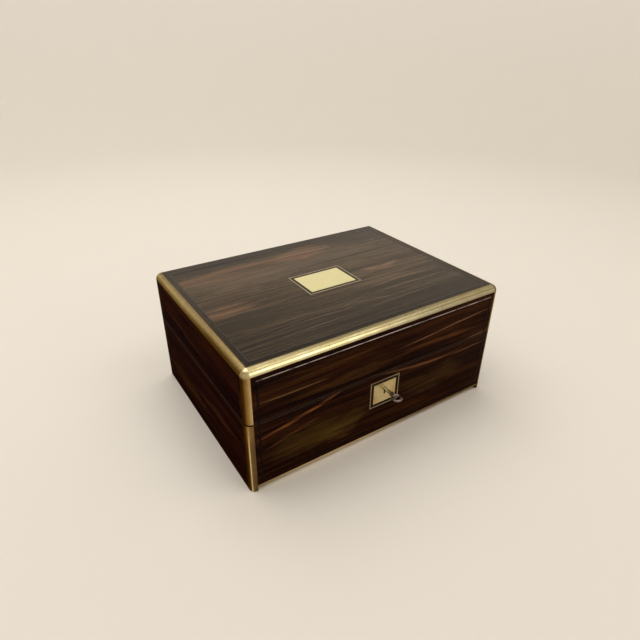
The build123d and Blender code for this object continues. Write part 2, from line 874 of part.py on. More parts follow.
def letter_wallet():
    x, y = lid_inner_x - wallet_side_margin, lid_inner_y - wallet_front_margin
    return block((-x, x), (-y, y), (wallet_low, velvet_low))


def mirror_frame():
    frame = block((-frame_x, frame_x), (frame_front, frame_back), (frame_low, frame_high))
    frame -= mirror_glass_block()
    for side in sides:
        start = (side * (frame_x - mirror_pivot_reach), pivot_y, pivot_z)
        frame -= rod(mirror_pivot_radius + running_fit, start, (side * (frame_x + past), pivot_y, pivot_z))
    return frame


def mirror_glass_block():
    x = frame_x - mirror_border
    y = (frame_front + mirror_border, frame_back - mirror_border)
    return block((-x, x), y, (frame_low, frame_low + mirror_glass_thickness))


def mirror_bracket(side):
    # a brass plate on the lid's side with a pin that carries the frame
    x_limits = mirrored((lid_inner_x - bracket_thickness, lid_inner_x), side)
    plate = block(x_limits, about(pivot_y, bracket_size), about(pivot_z, bracket_size))
    start = (side * (frame_x - mirror_pivot_reach + running_fit), pivot_y, pivot_z)
    return plate + rod(mirror_pivot_radius, start, (side * lid_inner_x, pivot_y, pivot_z))


# ---- write every piece ------------------------------------------------------------------------
save("base_front_board", base_front_board())
save("base_back_board", base_back_board())
save("base_left_board", base_side_board(-1))
save("base_right_board", base_side_board(1))
save("base_bottom", base_bottom())
save("underside_baize", underside_baize())
save("base_front_bead", base_front_bead())
save("base_corner_beads", *[base_corner_bead(side) for side in sides])
save("base_front_string", front_string(base_low, seam_height))
save("escutcheon_plate", escutcheon_plate())
save("escutcheon_ebony", escutcheon_ebony())
save("escutcheon_line", escutcheon_line())
save("lock_case", lock_case(), lock_post())
save("base_rim_screws", *rim_screws(-1))
save("hinge_lower_leaves", *[hinge_leaf_solid(middle, -1) for middle in hinge_places])
save("hinge_pins", *[hinge_pin(middle) for middle in hinge_places])
save("drawer_deck", drawer_deck())
save("drawer_guides", *[drawer_guide(side) for side in sides])
save("lining_boards", *lining_boards())
save("cell_boards", *partitions(), *[tray_ledge(side) for side in sides])
save("cell_pads", *cell_pads())

save("lid_top_board", lid_top_board())
save("lid_front_board", lid_front_board())
save("lid_back_board", lid_back_board())
save("lid_left_board", lid_side_board(-1))
save("lid_right_board", lid_side_board(1))
save("lid_front_bead", lid_front_bead())
save("lid_side_beads", *[lid_side_bead(side) for side in sides])
save("lid_corner_beads", *[lid_corner_bead(side) for side in sides])
save("lid_top_string", lid_top_string())
save("lid_front_string", front_string(seam_height, box_height))
save("lid_plate", lid_plate())
save("lid_plate_ebony", lid_plate_ebony())
save("lid_plate_line", lid_plate_line())
save("lock_link_plate", link_plate())
save("lid_rim_screws", *rim_screws(1))
save("hinge_upper_leaves", *[hinge_leaf_solid(middle, 1) for middle in hinge_places])
save("lid_lining", lid_lining())
save("letter_wallet", letter_wallet())
save("mirror_brackets", *[mirror_bracket(side) for side in sides])

save("mirror_frame", mirror_frame())
save("mirror_glass", mirror_glass_block())

save("key", key())
save("lock_bolt", lock_bolt())
save("drawer_pin", drawer_pin())

save("drawer_front", drawer_front())
save("drawer_boards", drawer_base(), *drawer_sides())
save("drawer_padding", drawer_pad_solid(), *ring_rolls())
save("drawer_knob", drawer_knob())

save("tray_boards", tray_base(), *tray_sides())
save("tray_pads", *tray_pads())
save("tray_knobs", *[tray_knob(side) for side in sides])

for cell, place in ((0, "left"), (3, "right")):
    save(f"jar_{place}", jar_glass(cell))
    save(f"jar_{place}_cover", jar_cover(cell))
for cell, place in ((1, "left"), (2, "right")):
    save(f"bottle_{place}", bottle_glass(cell))
    save(f"bottle_{place}_cap", bottle_cap(cell))
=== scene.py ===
import math

import bmesh
import bpy
from mathutils import Matrix, Quaternion, Vector


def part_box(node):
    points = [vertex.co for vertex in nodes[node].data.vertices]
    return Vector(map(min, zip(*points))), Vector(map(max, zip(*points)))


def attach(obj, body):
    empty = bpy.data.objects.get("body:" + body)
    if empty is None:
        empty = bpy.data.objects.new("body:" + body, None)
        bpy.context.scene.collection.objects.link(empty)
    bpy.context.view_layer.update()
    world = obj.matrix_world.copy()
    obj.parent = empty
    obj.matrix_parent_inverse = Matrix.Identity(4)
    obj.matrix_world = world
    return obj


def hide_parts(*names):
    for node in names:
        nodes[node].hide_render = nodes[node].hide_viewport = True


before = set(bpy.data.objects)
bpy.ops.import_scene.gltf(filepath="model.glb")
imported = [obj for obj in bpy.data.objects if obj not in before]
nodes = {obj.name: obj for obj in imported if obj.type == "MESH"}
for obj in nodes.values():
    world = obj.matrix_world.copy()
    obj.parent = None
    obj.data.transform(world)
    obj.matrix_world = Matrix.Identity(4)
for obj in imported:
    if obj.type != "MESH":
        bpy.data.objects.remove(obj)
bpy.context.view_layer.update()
scene = bpy.context.scene
scene.view_settings.view_transform = "Standard"
print("frame loaded:", len(nodes), "nodes")


# camera: the place and lens that put the box's edges where the photograph has them
viewpoint = {
    "place": (-0.28054, -0.42132, 0.37733),
    "azimuth": -33.104,
    "elevation": 29.971,
    "roll": 0.482,
    "lens": 28.643,
}


def makeCamera():
    data = bpy.data.cameras.new("camera")
    data.lens = viewpoint["lens"]
    data.sensor_width = 36.0
    data.clip_start = 0.01
    camera = bpy.data.objects.new("camera", data)
    scene.collection.objects.link(camera)
    azimuth = math.radians(viewpoint["azimuth"])
    elevation = math.radians(viewpoint["elevation"])
    back = Vector((
        math.sin(azimuth) * math.cos(elevation),
        -math.cos(azimuth) * math.cos(elevation),
        math.sin(elevation),
    ))
    aim = (-back).to_track_quat("-Z", "Y")
    camera.rotation_mode = "QUATERNION"
    camera.rotation_quaternion = aim @ Quaternion((0, 0, 1), math.radians(viewpoint["roll"]))
    camera.location = viewpoint["place"]
    scene.camera = camera


makeCamera()
print("camera placed")


# small helpers for shader trees
def put(tree, kind, inputs=None, **settings):
    node = tree.nodes.new("ShaderNode" + kind)
    for key, value in settings.items():
        setattr(node, key, value)
    for key, value in (inputs or {}).items():
        if isinstance(value, bpy.types.NodeSocket):
            tree.links.new(value, node.inputs[key])
        else:
            node.inputs[key].default_value = value
    return node


def maths(tree, operation, *values):
    return put(tree, "Math", dict(enumerate(values)), operation=operation).outputs[0]


def blendColours(tree, factor, first, second, mode="MIX"):
    if not isinstance(first, bpy.types.NodeSocket) and len(first) == 3:
        first = (*first, 1)
    if not isinstance(second, bpy.types.NodeSocket) and len(second) == 3:
        second = (*second, 1)
    inputs = {0: factor, 6: first, 7: second}
    return put(tree, "Mix", inputs, data_type="RGBA", blend_type=mode).outputs[2]


def noise(tree, vector, scale=1.0, detail=3.0, roughness=0.5):
    inputs = {"Vector": vector, "Scale": scale, "Detail": detail, "Roughness": roughness}
    return put(tree, "TexNoise", inputs).outputs["Fac"]


def stretched(tree, vector, scale, offset=(0, 0, 0)):
    return put(tree, "Mapping", {"Vector": vector, "Scale": scale, "Location": offset}).outputs[0]


def ramp(tree, factor, stops):
    node = put(tree, "ValToRGB", {"Fac": factor})
    elements = node.color_ramp.elements
    for index, (place, colour) in enumerate(stops):
        element = elements[index] if index < 2 else elements.new(place)
        element.position = place
        element.color = (*colour, 1)
    return node.outputs["Color"]


def remap(tree, value, low, high, newLow=0.0, newHigh=1.0):
    inputs = {"Value": value, "From Min": low, "From Max": high, "To Min": newLow, "To Max": newHigh}
    return put(tree, "MapRange", inputs, interpolation_type="SMOOTHSTEP").outputs[0]


def within(tree, value, centre, reach, softness=0.0):
    # 1 where value is within reach of centre, falling to 0 over softness
    away = maths(tree, "ABSOLUTE", maths(tree, "SUBTRACT", value, centre))
    if softness == 0.0:
        return maths(tree, "LESS_THAN", away, reach)
    return remap(tree, away, reach, reach + softness, 1.0, 0.0)


def newGroup(name, inputs, outputs):
    group = bpy.data.node_groups.new(name, "ShaderNodeTree")
    for label, kind, value in inputs:
        socket = group.interface.new_socket(name=label, in_out="INPUT", socket_type="NodeSocket" + kind)
        if value is not None:
            socket.default_value = value
    for label in outputs:
        group.interface.new_socket(name=label, in_out="OUTPUT", socket_type="NodeSocketFloat")
    start = group.nodes.new("NodeGroupInput")
    end = group.nodes.new("NodeGroupOutput")
    return group, start.outputs, end.inputs


def useGroup(tree, group, **values):
    node = tree.nodes.new("ShaderNodeGroup")
    node.node_tree = group
    for label, value in values.items():
        socket = node.inputs[label]
        if isinstance(value, bpy.types.NodeSocket):
            tree.links.new(value, socket)
        else:
            socket.default_value = value
    return node.outputs


def newMaterial(name):
    material = bpy.data.materials.new(name)
    material.use_nodes = True
    tree = material.node_tree
    return material, tree, tree.nodes["Principled BSDF"]


def objectPoint(tree):
    return put(tree, "TexCoord").outputs["Object"]


def pointParts(tree, point):
    return put(tree, "SeparateXYZ", {0: point}).outputs


def bumpNormal(tree, shader, height, strength, distance):
    bump = put(tree, "Bump", {"Height": height, "Strength": strength, "Distance": distance})
    tree.links.new(bump.outputs[0], shader.inputs["Normal"])


def dress(material, *names):
    for name in names:
        data = nodes[name].data
        data.materials.clear()
        data.materials.append(material)


# shared effects
def makeGrainGroup():
    # wood figure in metres: x runs along the grain, y across it
    group, given, result = newGroup(
        "woodGrain",
        [("Vector", "Vector", None), ("Waviness", "Float", 0.007), ("Bands", "Float", 60.0), ("Lines", "Float", 320.0)],
        ["Band", "Line", "Fibre", "Pore", "Cloud"],
    )
    drift = noise(group, stretched(group, given["Vector"], (5, 13, 13)), detail=2.0)
    shift = maths(group, "MULTIPLY", maths(group, "SUBTRACT", drift, 0.5), given["Waviness"])
    parts = pointParts(group, given["Vector"])
    across = maths(group, "ADD", parts[1], shift)

    def figure(name, rate, acrossRate, detail, offset):
        place = put(group, "CombineXYZ", {
            0: maths(group, "MULTIPLY", parts[0], rate),
            1: maths(group, "MULTIPLY", across, acrossRate),
            2: maths(group, "ADD", parts[2], offset),
        }).outputs[0]
        group.links.new(noise(group, place, detail=detail, roughness=0.55), result[name])

    figure("Band", 4.0, given["Bands"], 3.0, 0.0)
    figure("Line", 7.0, given["Lines"], 3.0, 3.1)
    figure("Fibre", 16.0, maths(group, "MULTIPLY", given["Lines"], 2.7), 2.0, 5.4)
    figure("Pore", 150.0, 3300.0, 1.0, 7.7)
    figure("Cloud", 9.0, 28.0, 2.0, 12.3)
    return group


def makeStreakGroup():
    # one long flame of figure: a soft ellipse laid along a bent line
    group, given, result = newGroup(
        "woodStreak",
        [
            ("Vector", "Vector", None),
            ("Centre", "Vector", (0, 0, 0)),
            ("Length", "Float", 0.05),
            ("Width", "Float", 0.004),
            ("Slope", "Float", 0.0),
            ("Bend", "Float", 0.0),
        ],
        ["Mask"],
    )
    offset = put(group, "VectorMath", {0: given["Vector"], 1: given["Centre"]}, operation="SUBTRACT").outputs[0]
    parts = pointParts(group, offset)
    lean = maths(group, "MULTIPLY", parts[0], given["Slope"])
    curve = maths(group, "MULTIPLY", maths(group, "MULTIPLY", parts[0], parts[0]), given["Bend"])
    waver = noise(group, stretched(group, given["Vector"], (24, 70, 70)), detail=3.0)
    wander = maths(group, "MULTIPLY", maths(group, "SUBTRACT", waver, 0.5), maths(group, "MULTIPLY", given["Width"], 2.2))
    line = maths(group, "ADD", maths(group, "ADD", lean, curve), wander)
    away = maths(group, "DIVIDE", maths(group, "SUBTRACT", parts[1], line), given["Width"])
    along = maths(group, "DIVIDE", parts[0], given["Length"])
    reach = maths(
        group, "ADD", maths(group, "MULTIPLY", along, along), maths(group, "MULTIPLY", away, away),
    )
    group.links.new(remap(group, reach, 0.0, 1.0, 1.0, 0.0), result["Mask"])
    return group


def makeWearGroup():
    # handling marks on polished metal: cloudy tarnish, fine hairlines and small spots
    group, given, result = newGroup(
        "metalWear",
        [("Vector", "Vector", None), ("Cloud Scale", "Float", 60.0), ("Hairline Scale", "Float", 1500.0)],
        ["Tarnish", "Hairline", "Spots", "Height"],
    )
    cloud = noise(group, given["Vector"], given["Cloud Scale"], 4.0, 0.6)
    hair = noise(group, stretched(group, given["Vector"], (0.08, 1, 1)), given["Hairline Scale"], 2.0)
    spots = noise(group, given["Vector"], maths(group, "MULTIPLY", given["Cloud Scale"], 9.0), 2.0, 0.4)
    height = maths(group, "ADD", maths(group, "MULTIPLY", hair, 0.4), maths(group, "MULTIPLY", cloud, 0.6))
    group.links.new(remap(group, cloud, 0.42, 0.68), result["Tarnish"])
    group.links.new(hair, result["Hairline"])
    group.links.new(remap(group, spots, 0.63, 0.75), result["Spots"])
    group.links.new(height, result["Height"])
    return group


grainGroup = makeGrainGroup()
streakGroup = makeStreakGroup()
wearGroup = makeWearGroup()
print("shared shader groups made")


# veneer: each face of the box has its own sheet, so each has its own figure
boxShape = {"halfWidth": 0.1525, "halfDepth": 0.112, "height": 0.137, "seam": 0.0805, "veneer": 0.0013, "string": 0.0112}

topSheet = {
    "axes": "xy",
    "dark": (0.0175, 0.0092, 0.0036),
    "middle": (0.0450, 0.0262, 0.0118),
    "light": (0.0930, 0.0590, 0.0320),
    "bands": 58.0,
    "lines": 300.0,
    "polish": 0.66,
    "border": ((0.018, 0.0095, 0.0030), (0.040, 0.0225, 0.0080)),
    "streaks": [
        # centre, half length, half width, slope, bend, strength, colour
        ((0.020, 0.048), 0.170, 0.0360, 0.00, 0.0, 0.60, (0.108, 0.074, 0.048)),
        ((-0.090, 0.0450), 0.090, 0.0240, 0.00, 0.0, 0.55, (0.118, 0.076, 0.045)),
        ((0.016, 0.083), 0.052, 0.0210, 0.06, -2.0, 0.75, (0.215, 0.112, 0.058)),
        ((-0.066, 0.0785), 0.100, 0.0090, 0.02, -1.0, 0.70, (0.180, 0.090, 0.046)),
        ((-0.108, 0.065), 0.060, 0.0165, -0.02, 0.0, 0.55, (0.140, 0.070, 0.036)),
        ((-0.122, -0.010), 0.040, 0.0105, -0.05, 0.0, 0.75, (0.165, 0.085, 0.042)),
        ((-0.080, -0.0195), 0.070, 0.0036, -0.02, 1.5, 0.60, (0.130, 0.074, 0.038)),
        ((0.076, -0.0045), 0.034, 0.0078, 0.00, 9.0, 0.80, (0.185, 0.100, 0.062)),
        ((-0.075, -0.0805), 0.090, 0.0013, 0.03, 0.0, 0.90, (0.240, 0.155, 0.095)),
        ((-0.055, -0.0665), 0.060, 0.0013, 0.00, -2.0, 0.80, (0.210, 0.130, 0.078)),
        ((-0.090, -0.0735), 0.070, 0.0010, 0.02, 0.0, 0.60, (0.180, 0.110, 0.065)),
        ((-0.090, -0.0560), 0.060, 0.0012, 0.01, 0.0, 0.55, (0.160, 0.096, 0.052)),
        ((0.010, -0.0635), 0.040, 0.0015, -0.05, -6.0, 0.80, (0.220, 0.150, 0.095)),
        ((0.075, -0.0385), 0.060, 0.0016, 0.02, -2.0, 0.75, (0.190, 0.120, 0.078)),
        ((0.078, -0.0530), 0.065, 0.0014, 0.00, 0.0, 0.75, (0.190, 0.125, 0.080)),
        ((-0.010, -0.0600), 0.050, 0.0012, 0.30, 0.0, 0.45, (0.180, 0.120, 0.075)),
        ((0.040, -0.0755), 0.075, 0.0013, 0.05, 0.0, 0.65, (0.180, 0.120, 0.075)),
        ((0.060, -0.0240), 0.075, 0.0050, 0.01, 0.0, 0.45, (0.130, 0.084, 0.050)),
        ((0.100, 0.0300), 0.060, 0.0080, -0.01, 0.0, 0.35, (0.120, 0.085, 0.055)),
    ],
}

frontSheet = {
    "axes": "xz",
    "dark": (0.0052, 0.0009, 0.0004),
    "middle": (0.0170, 0.0040, 0.0009),
    "light": (0.0460, 0.0145, 0.0028),
    "bands": 66.0,
    "lines": 290.0,
    "polish": 0.055,
    "streaks": [
        ((-0.098, 0.0690), 0.056, 0.0027, 0.215, 0.6, 0.90, (0.225, 0.078, 0.020)),
        ((-0.105, 0.1005), 0.045, 0.0013, 0.00, 0.0, 0.85, (0.140, 0.075, 0.028)),
        ((-0.070, 0.1130), 0.070, 0.0014, 0.03, 0.0, 0.65, (0.085, 0.040, 0.012)),
        ((-0.085, 0.1185), 0.060, 0.0022, 0.00, 0.0, 0.55, (0.060, 0.024, 0.007)),
        ((0.083, 0.1075), 0.080, 0.0013, 0.075, 0.0, 0.90, (0.190, 0.095, 0.052)),
        ((0.068, 0.0950), 0.065, 0.0042, -0.02, 0.0, 0.65, (0.120, 0.042, 0.010)),
        ((-0.040, 0.0930), 0.080, 0.0062, 0.00, 0.0, 0.45, (0.080, 0.034, 0.008)),
        ((0.045, 0.0725), 0.070, 0.0019, -0.09, 1.4, 0.85, (0.170, 0.070, 0.026)),
        ((0.118, 0.0695), 0.038, 0.0016, 0.03, 0.0, 0.75, (0.150, 0.070, 0.032)),
        ((0.125, 0.0825), 0.030, 0.0015, 0.08, 0.0, 0.65, (0.130, 0.065, 0.032)),
        ((-0.075, 0.0400), 0.066, 0.0210, 0.03, 0.0, 0.60, (0.072, 0.038, 0.007)),
        ((0.066, 0.0490), 0.055, 0.0160, 0.05, 0.0, 0.50, (0.070, 0.038, 0.008)),
        ((-0.052, 0.0340), 0.036, 0.0120, 0.10, 0.0, 0.55, (0.100, 0.054, 0.010)),
        ((-0.108, 0.0530), 0.040, 0.0014, 0.24, 0.0, 0.60, (0.120, 0.040, 0.010)),
    ],
}

sideSheet = {
    "axes": "yz",
    "dark": (0.0050, 0.0005, 0.0003),
    "middle": (0.0135, 0.0018, 0.0006),
    "light": (0.0330, 0.0080, 0.0014),
    "bands": 60.0,
    "lines": 270.0,
    "polish": 0.20,
    "streaks": [
        ((0.030, 0.1010), 0.080, 0.0040, 0.04, 0.0, 0.55, (0.062, 0.020, 0.005)),
        ((-0.040, 0.0460), 0.075, 0.0050, -0.05, 0.0, 0.55, (0.066, 0.022, 0.006)),
        ((0.050, 0.0280), 0.070, 0.0110, 0.03, 0.0, 0.45, (0.050, 0.022, 0.005)),
    ],
}

backSheet = {
    "axes": "xz",
    "dark": (0.0045, 0.0012, 0.0008),
    "middle": (0.0160, 0.0050, 0.0018),
    "light": (0.0450, 0.0180, 0.0045),
    "bands": 56.0,
    "lines": 280.0,
    "polish": 0.20,
    "streaks": [
        ((0.060, 0.1000), 0.090, 0.0032, 0.03, 0.0, 0.75, (0.140, 0.052, 0.014)),
        ((-0.070, 0.0560), 0.080, 0.0055, -0.05, 0.4, 0.65, (0.130, 0.050, 0.013)),
        ((-0.020, 0.1150), 0.100, 0.0016, 0.01, 0.0, 0.65, (0.120, 0.060, 0.022)),
        ((0.030, 0.0350), 0.095, 0.0120, 0.02, 0.0, 0.50, (0.070, 0.036, 0.007)),
    ],
}


endPolish = {"left": 0.012, "right": 0.25, "roughness": 0.16}


def grainVector(tree, point, axes):
    parts = dict(zip("xyz", pointParts(tree, point)))
    left = [axis for axis in "xyz" if axis not in axes][0]
    return put(tree, "CombineXYZ", {0: parts[axes[0]], 1: parts[axes[1]], 2: parts[left]}).outputs[0]


def depthBelowSkin(tree, parts, height=True):
    # distance from a point to the box's nearest outer face
    fromSide = maths(tree, "SUBTRACT", boxShape["halfWidth"], maths(tree, "ABSOLUTE", parts[0]))
    fromFront = maths(tree, "SUBTRACT", boxShape["halfDepth"], maths(tree, "ABSOLUTE", parts[1]))
    nearest = maths(tree, "MINIMUM", fromSide, fromFront)
    if height:
        nearest = maths(tree, "MINIMUM", nearest, maths(tree, "SUBTRACT", boxShape["height"], parts[2]))
    return nearest


def veneerMaterial(name, sheet):
    material, tree, shader = newMaterial(name)
    point = objectPoint(tree)
    parts = pointParts(tree, point)
    vector = grainVector(tree, point, sheet["axes"])
    grain = useGroup(tree, grainGroup, Vector=vector, Bands=sheet["bands"], Lines=sheet["lines"])
    tone = maths(
        tree, "ADD",
        maths(tree, "MULTIPLY", grain["Band"], 0.45),
        maths(tree, "ADD", maths(tree, "MULTIPLY", grain["Line"], 0.35), maths(tree, "MULTIPLY", grain["Fibre"], 0.20)),
    )
    colour = ramp(tree, tone, [(0.40, sheet["dark"]), (0.62, sheet["light"]), (0.50, sheet["middle"])])
    feather = remap(tree, grain["Line"], 0.34, 0.60, 0.35, 1.0)
    for centre, length, width, slope, bend, strength, tint in sheet["streaks"]:
        mask = useGroup(
            tree, streakGroup, Vector=vector, Centre=(*centre, 0), Length=length, Width=width, Slope=slope, Bend=bend,
        )["Mask"]
        factor = maths(tree, "MULTIPLY", maths(tree, "MULTIPLY", mask, feather), strength)
        colour = blendColours(tree, factor, colour, tint)
    veins = maths(tree, "MULTIPLY", remap(tree, grain["Fibre"], 0.44, 0.34), 0.65)
    colour = blendColours(tree, veins, colour, sheet["dark"])
    pores = remap(tree, grain["Pore"], 0.62, 0.72)
    colour = blendColours(tree, maths(tree, "MULTIPLY", pores, 0.5), colour, (0.003, 0.002, 0.001))
    if sheet["axes"] == "xy":
        # the plain border between the ebony line and the edging
        border = maths(tree, "LESS_THAN", depthBelowSkin(tree, parts, height=False), boxShape["string"])
        plain = ramp(tree, grain["Line"], [(0.35, sheet["border"][0]), (0.65, sheet["border"][1])])
        colour = blendColours(tree, border, colour, plain)
        # the middle of the top is lighter; the front third and the back edge are darker
        shade = maths(tree, "MULTIPLY", remap(tree, parts[1], -0.100, 0.000, 0.50, 1.0), remap(tree, parts[1], 0.064, 0.104, 1.0, 0.55))
        toned = put(tree, "CombineColor", {0: shade, 1: shade, 2: shade}).outputs[0]
        colour = blendColours(tree, 1.0, colour, toned, "MULTIPLY")
    else:
        # painted highlight along the edges beside the joint between base and lid, and a painted shadow in the joint's
        # gap
        colour = blendColours(
            tree, maths(tree, "MULTIPLY", within(tree, parts[2], boxShape["seam"], 0.0013, 0.0004), 0.35),
            colour, (0.11, 0.07, 0.045),
        )
        colour = blendColours(tree, within(tree, parts[2], boxShape["seam"], 0.0006, 0.0002), colour, (0.001, 0.001, 0.001))
    inner = maths(tree, "GREATER_THAN", depthBelowSkin(tree, parts), boxShape["veneer"])
    lining = ramp(tree, grain["Band"], [(0.35, (0.030, 0.009, 0.005)), (0.65, (0.085, 0.028, 0.012))])
    colour = blendColours(tree, inner, colour, lining)
    tree.links.new(colour, shader.inputs["Base Color"])
    handling = noise(tree, point, 22.0, 3.0, 0.6)
    tree.links.new(remap(tree, handling, 0.35, 0.70, 0.10, 0.24), shader.inputs["Roughness"])
    ripple = noise(tree, point, 45.0, 2.0, 0.5)
    height = maths(tree, "SUBTRACT", maths(tree, "MULTIPLY", ripple, 0.9), maths(tree, "MULTIPLY", pores, 0.1))
    bumpNormal(tree, shader, height, 0.12, 0.0006)
    # the polish is a coat: nearly gone from the left end, which faced the light, and sound on the right
    leftEnd = maths(tree, "LESS_THAN", parts[0], 0.0002 - boxShape["halfWidth"])
    rightEnd = maths(tree, "GREATER_THAN", parts[0], boxShape["halfWidth"] - 0.0002)
    face = maths(tree, "SUBTRACT", 1.0, maths(tree, "ADD", leftEnd, rightEnd))
    polish = maths(tree, "MULTIPLY", face, sheet["polish"])
    polish = maths(tree, "ADD", polish, maths(tree, "MULTIPLY", leftEnd, endPolish["left"]))
    polish = maths(tree, "ADD", polish, maths(tree, "MULTIPLY", rightEnd, endPolish["right"]))
    tree.links.new(polish, shader.inputs["Coat Weight"])
    shader.inputs["Coat Roughness"].default_value = endPolish["roughness"]
    shader.inputs["Specular IOR Level"].default_value = 0.0
    return material


frontVeneer = veneerMaterial("coromandelFront", frontSheet)
dress(veneerMaterial("coromandelTop", topSheet), "lid_top_board")
dress(frontVeneer, "lid_front_board", "base_front_board")
dress(veneerMaterial("coromandelBack", backSheet), "lid_back_board", "base_back_board")
dress(
    veneerMaterial("coromandelSide", sideSheet),
    "lid_left_board", "lid_right_board", "base_left_board", "base_right_board", "drawer_front",
)
print("veneers laid")


# solid timbers
timbers = {
    "rosewoodPolished": {
        "axes": "xz", "dark": (0.030, 0.008, 0.005), "light": (0.120, 0.040, 0.018), "roughness": (0.22, 0.34),
        "nodes": ("drawer_deck", "lining_boards", "cell_boards", "tray_boards"),
    },
    "mahoganyOiled": {
        "axes": "xy", "dark": (0.130, 0.045, 0.018), "light": (0.300, 0.130, 0.055), "roughness": (0.42, 0.58),
        "nodes": ("base_bottom", "drawer_guides", "drawer_boards"),
    },
    "ebonyLine": {
        "axes": "xy", "dark": (0.003, 0.002, 0.002), "light": (0.014, 0.010, 0.009), "roughness": (0.14, 0.26),
        "nodes": ("lid_top_string",),
    },
    "plateSurround": {
        "axes": "xy", "dark": (0.020, 0.0135, 0.0045), "light": (0.052, 0.038, 0.0150), "roughness": (0.20, 0.34),
        "gloss": 0.10, "nodes": ("lid_plate_ebony",),
    },
    "escutcheonSurround": {
        "axes": "xz", "dark": (0.008, 0.004, 0.001), "light": (0.026, 0.014, 0.003), "roughness": (0.20, 0.34),
        "gloss": 0.05, "nodes": ("escutcheon_ebony",),
    },
    "ebonyLineFront": {
        "axes": "xz", "dark": (0.003, 0.001, 0.001), "light": (0.010, 0.005, 0.004), "roughness": (0.20, 0.32),
        "gloss": 0.03, "nodes": ("base_front_string",),
    },
}


def timberMaterial(name, look):
    material, tree, shader = newMaterial(name)
    vector = grainVector(tree, objectPoint(tree), look["axes"])
    grain = useGroup(tree, grainGroup, Vector=vector, Bands=90.0, Lines=520.0)
    mixed = maths(tree, "ADD", maths(tree, "MULTIPLY", grain["Band"], 0.6), maths(tree, "MULTIPLY", grain["Line"], 0.4))
    colour = ramp(tree, mixed, [(0.38, look["dark"]), (0.64, look["light"])])
    pores = remap(tree, grain["Pore"], 0.60, 0.70)
    colour = blendColours(tree, maths(tree, "MULTIPLY", pores, 0.6), colour, look["dark"], "MULTIPLY")
    tree.links.new(colour, shader.inputs["Base Color"])
    tree.links.new(remap(tree, grain["Cloud"], 0.3, 0.7, *look["roughness"]), shader.inputs["Roughness"])
    bumpNormal(tree, shader, maths(tree, "SUBTRACT", 1.0, pores), 0.25, 0.0001)
    shader.inputs["Specular IOR Level"].default_value = look.get("gloss", 0.5)
    return material, tree, shader, colour


for name, look in timbers.items():
    dress(timberMaterial(name, look)[0], *look["nodes"])


def paintedHighlightLineMaterial():
    # painted highlight: the ebony line along the lid's front is painted pale on its long upper run, where light catches
    # its upper edge
    material, tree, shader, colour = timberMaterial("ebonyLinePaintedHighlight", timbers["ebonyLineFront"])
    parts = pointParts(tree, objectPoint(tree))
    upper = within(tree, parts[2], 0.1254, 0.0003, 0.0003)
    highlightBreakup = remap(tree, noise(tree, stretched(tree, objectPoint(tree), (1, 1, 4)), 60.0, 4.0, 0.65), 0.34, 0.60, 0.20, 1.0)
    paintedHighlight = blendColours(tree, maths(tree, "MULTIPLY", upper, highlightBreakup), colour, (0.50, 0.40, 0.38))
    tree.links.new(paintedHighlight, shader.inputs["Base Color"])
    return material


dress(paintedHighlightLineMaterial(), "lid_front_string")
print("timbers dressed")


# brass, silver plate and steel
metals = {
    "brassPlate": {
        "clean": (1.00, 0.945, 0.560), "tarnished": (0.97, 0.84, 0.46), "roughness": (0.30, 0.42), "tarnish": 0.55,
        "nodes": ("lid_plate",),
    },
    "brassEscutcheon": {
        "clean": (0.62, 0.50, 0.26), "tarnished": (0.50, 0.31, 0.11), "roughness": (0.24, 0.38), "tarnish": 0.85,
        "nodes": ("escutcheon_plate",),
    },
    "brassFittings": {
        "clean": (0.84, 0.70, 0.38), "tarnished": (0.56, 0.40, 0.19), "roughness": (0.20, 0.36), "tarnish": 0.5,
        "nodes": (
            "lock_case", "lock_bolt", "lock_link_plate", "hinge_lower_leaves", "hinge_upper_leaves", "hinge_pins",
            "mirror_brackets", "drawer_pin", "drawer_knob", "tray_knobs", "base_rim_screws", "lid_rim_screws",
        ),
    },
    "giltSlip": {
        "clean": (0.92, 0.68, 0.30), "tarnished": (0.55, 0.34, 0.13), "roughness": (0.24, 0.42), "tarnish": 0.7,
        "nodes": (),
    },
    "nailBrass": {
        "clean": (0.20, 0.13, 0.06), "tarnished": (0.10, 0.06, 0.03), "roughness": (0.35, 0.50), "tarnish": 0.6,
        "nodes": (),
    },
    "silverPlate": {
        "clean": (0.88, 0.86, 0.82), "tarnished": (0.64, 0.59, 0.50), "roughness": (0.10, 0.24), "tarnish": 0.35,
        "nodes": ("jar_left_cover", "jar_right_cover", "bottle_left_cap", "bottle_right_cap"),
    },
}


def brassWorn(tree, wear, colour, dull, tarnish):
    # clouds and spots of tarnish over brass of a given colour
    amount = maths(tree, "MAXIMUM", maths(tree, "MULTIPLY", wear["Tarnish"], tarnish), maths(tree, "MULTIPLY", wear["Spots"], 0.5))
    return blendColours(tree, amount, colour, blendColours(tree, 1.0, colour, dull, "MULTIPLY"))


def finishMetal(tree, shader, wear, colour, roughness):
    tree.links.new(colour, shader.inputs["Base Color"])
    shader.inputs["Metallic"].default_value = 1.0
    tree.links.new(remap(tree, wear["Height"], 0.3, 0.7, *roughness), shader.inputs["Roughness"])
    bumpNormal(tree, shader, wear["Height"], 0.08, 0.0002)


def metalMaterial(name, look):
    material, tree, shader = newMaterial(name)
    point = objectPoint(tree)
    wear = useGroup(tree, wearGroup, Vector=point)
    dull = maths(tree, "MULTIPLY", wear["Tarnish"], look["tarnish"])
    colour = blendColours(tree, dull, look["clean"], look["tarnished"])
    colour = blendColours(tree, maths(tree, "MULTIPLY", wear["Spots"], 0.5), colour, look["tarnished"])
    finishMetal(tree, shader, wear, colour, look["roughness"])
    return material


metalMaterials = {name: metalMaterial(name, look) for name, look in metals.items()}
for name, look in metals.items():
    dress(metalMaterials[name], *look["nodes"])
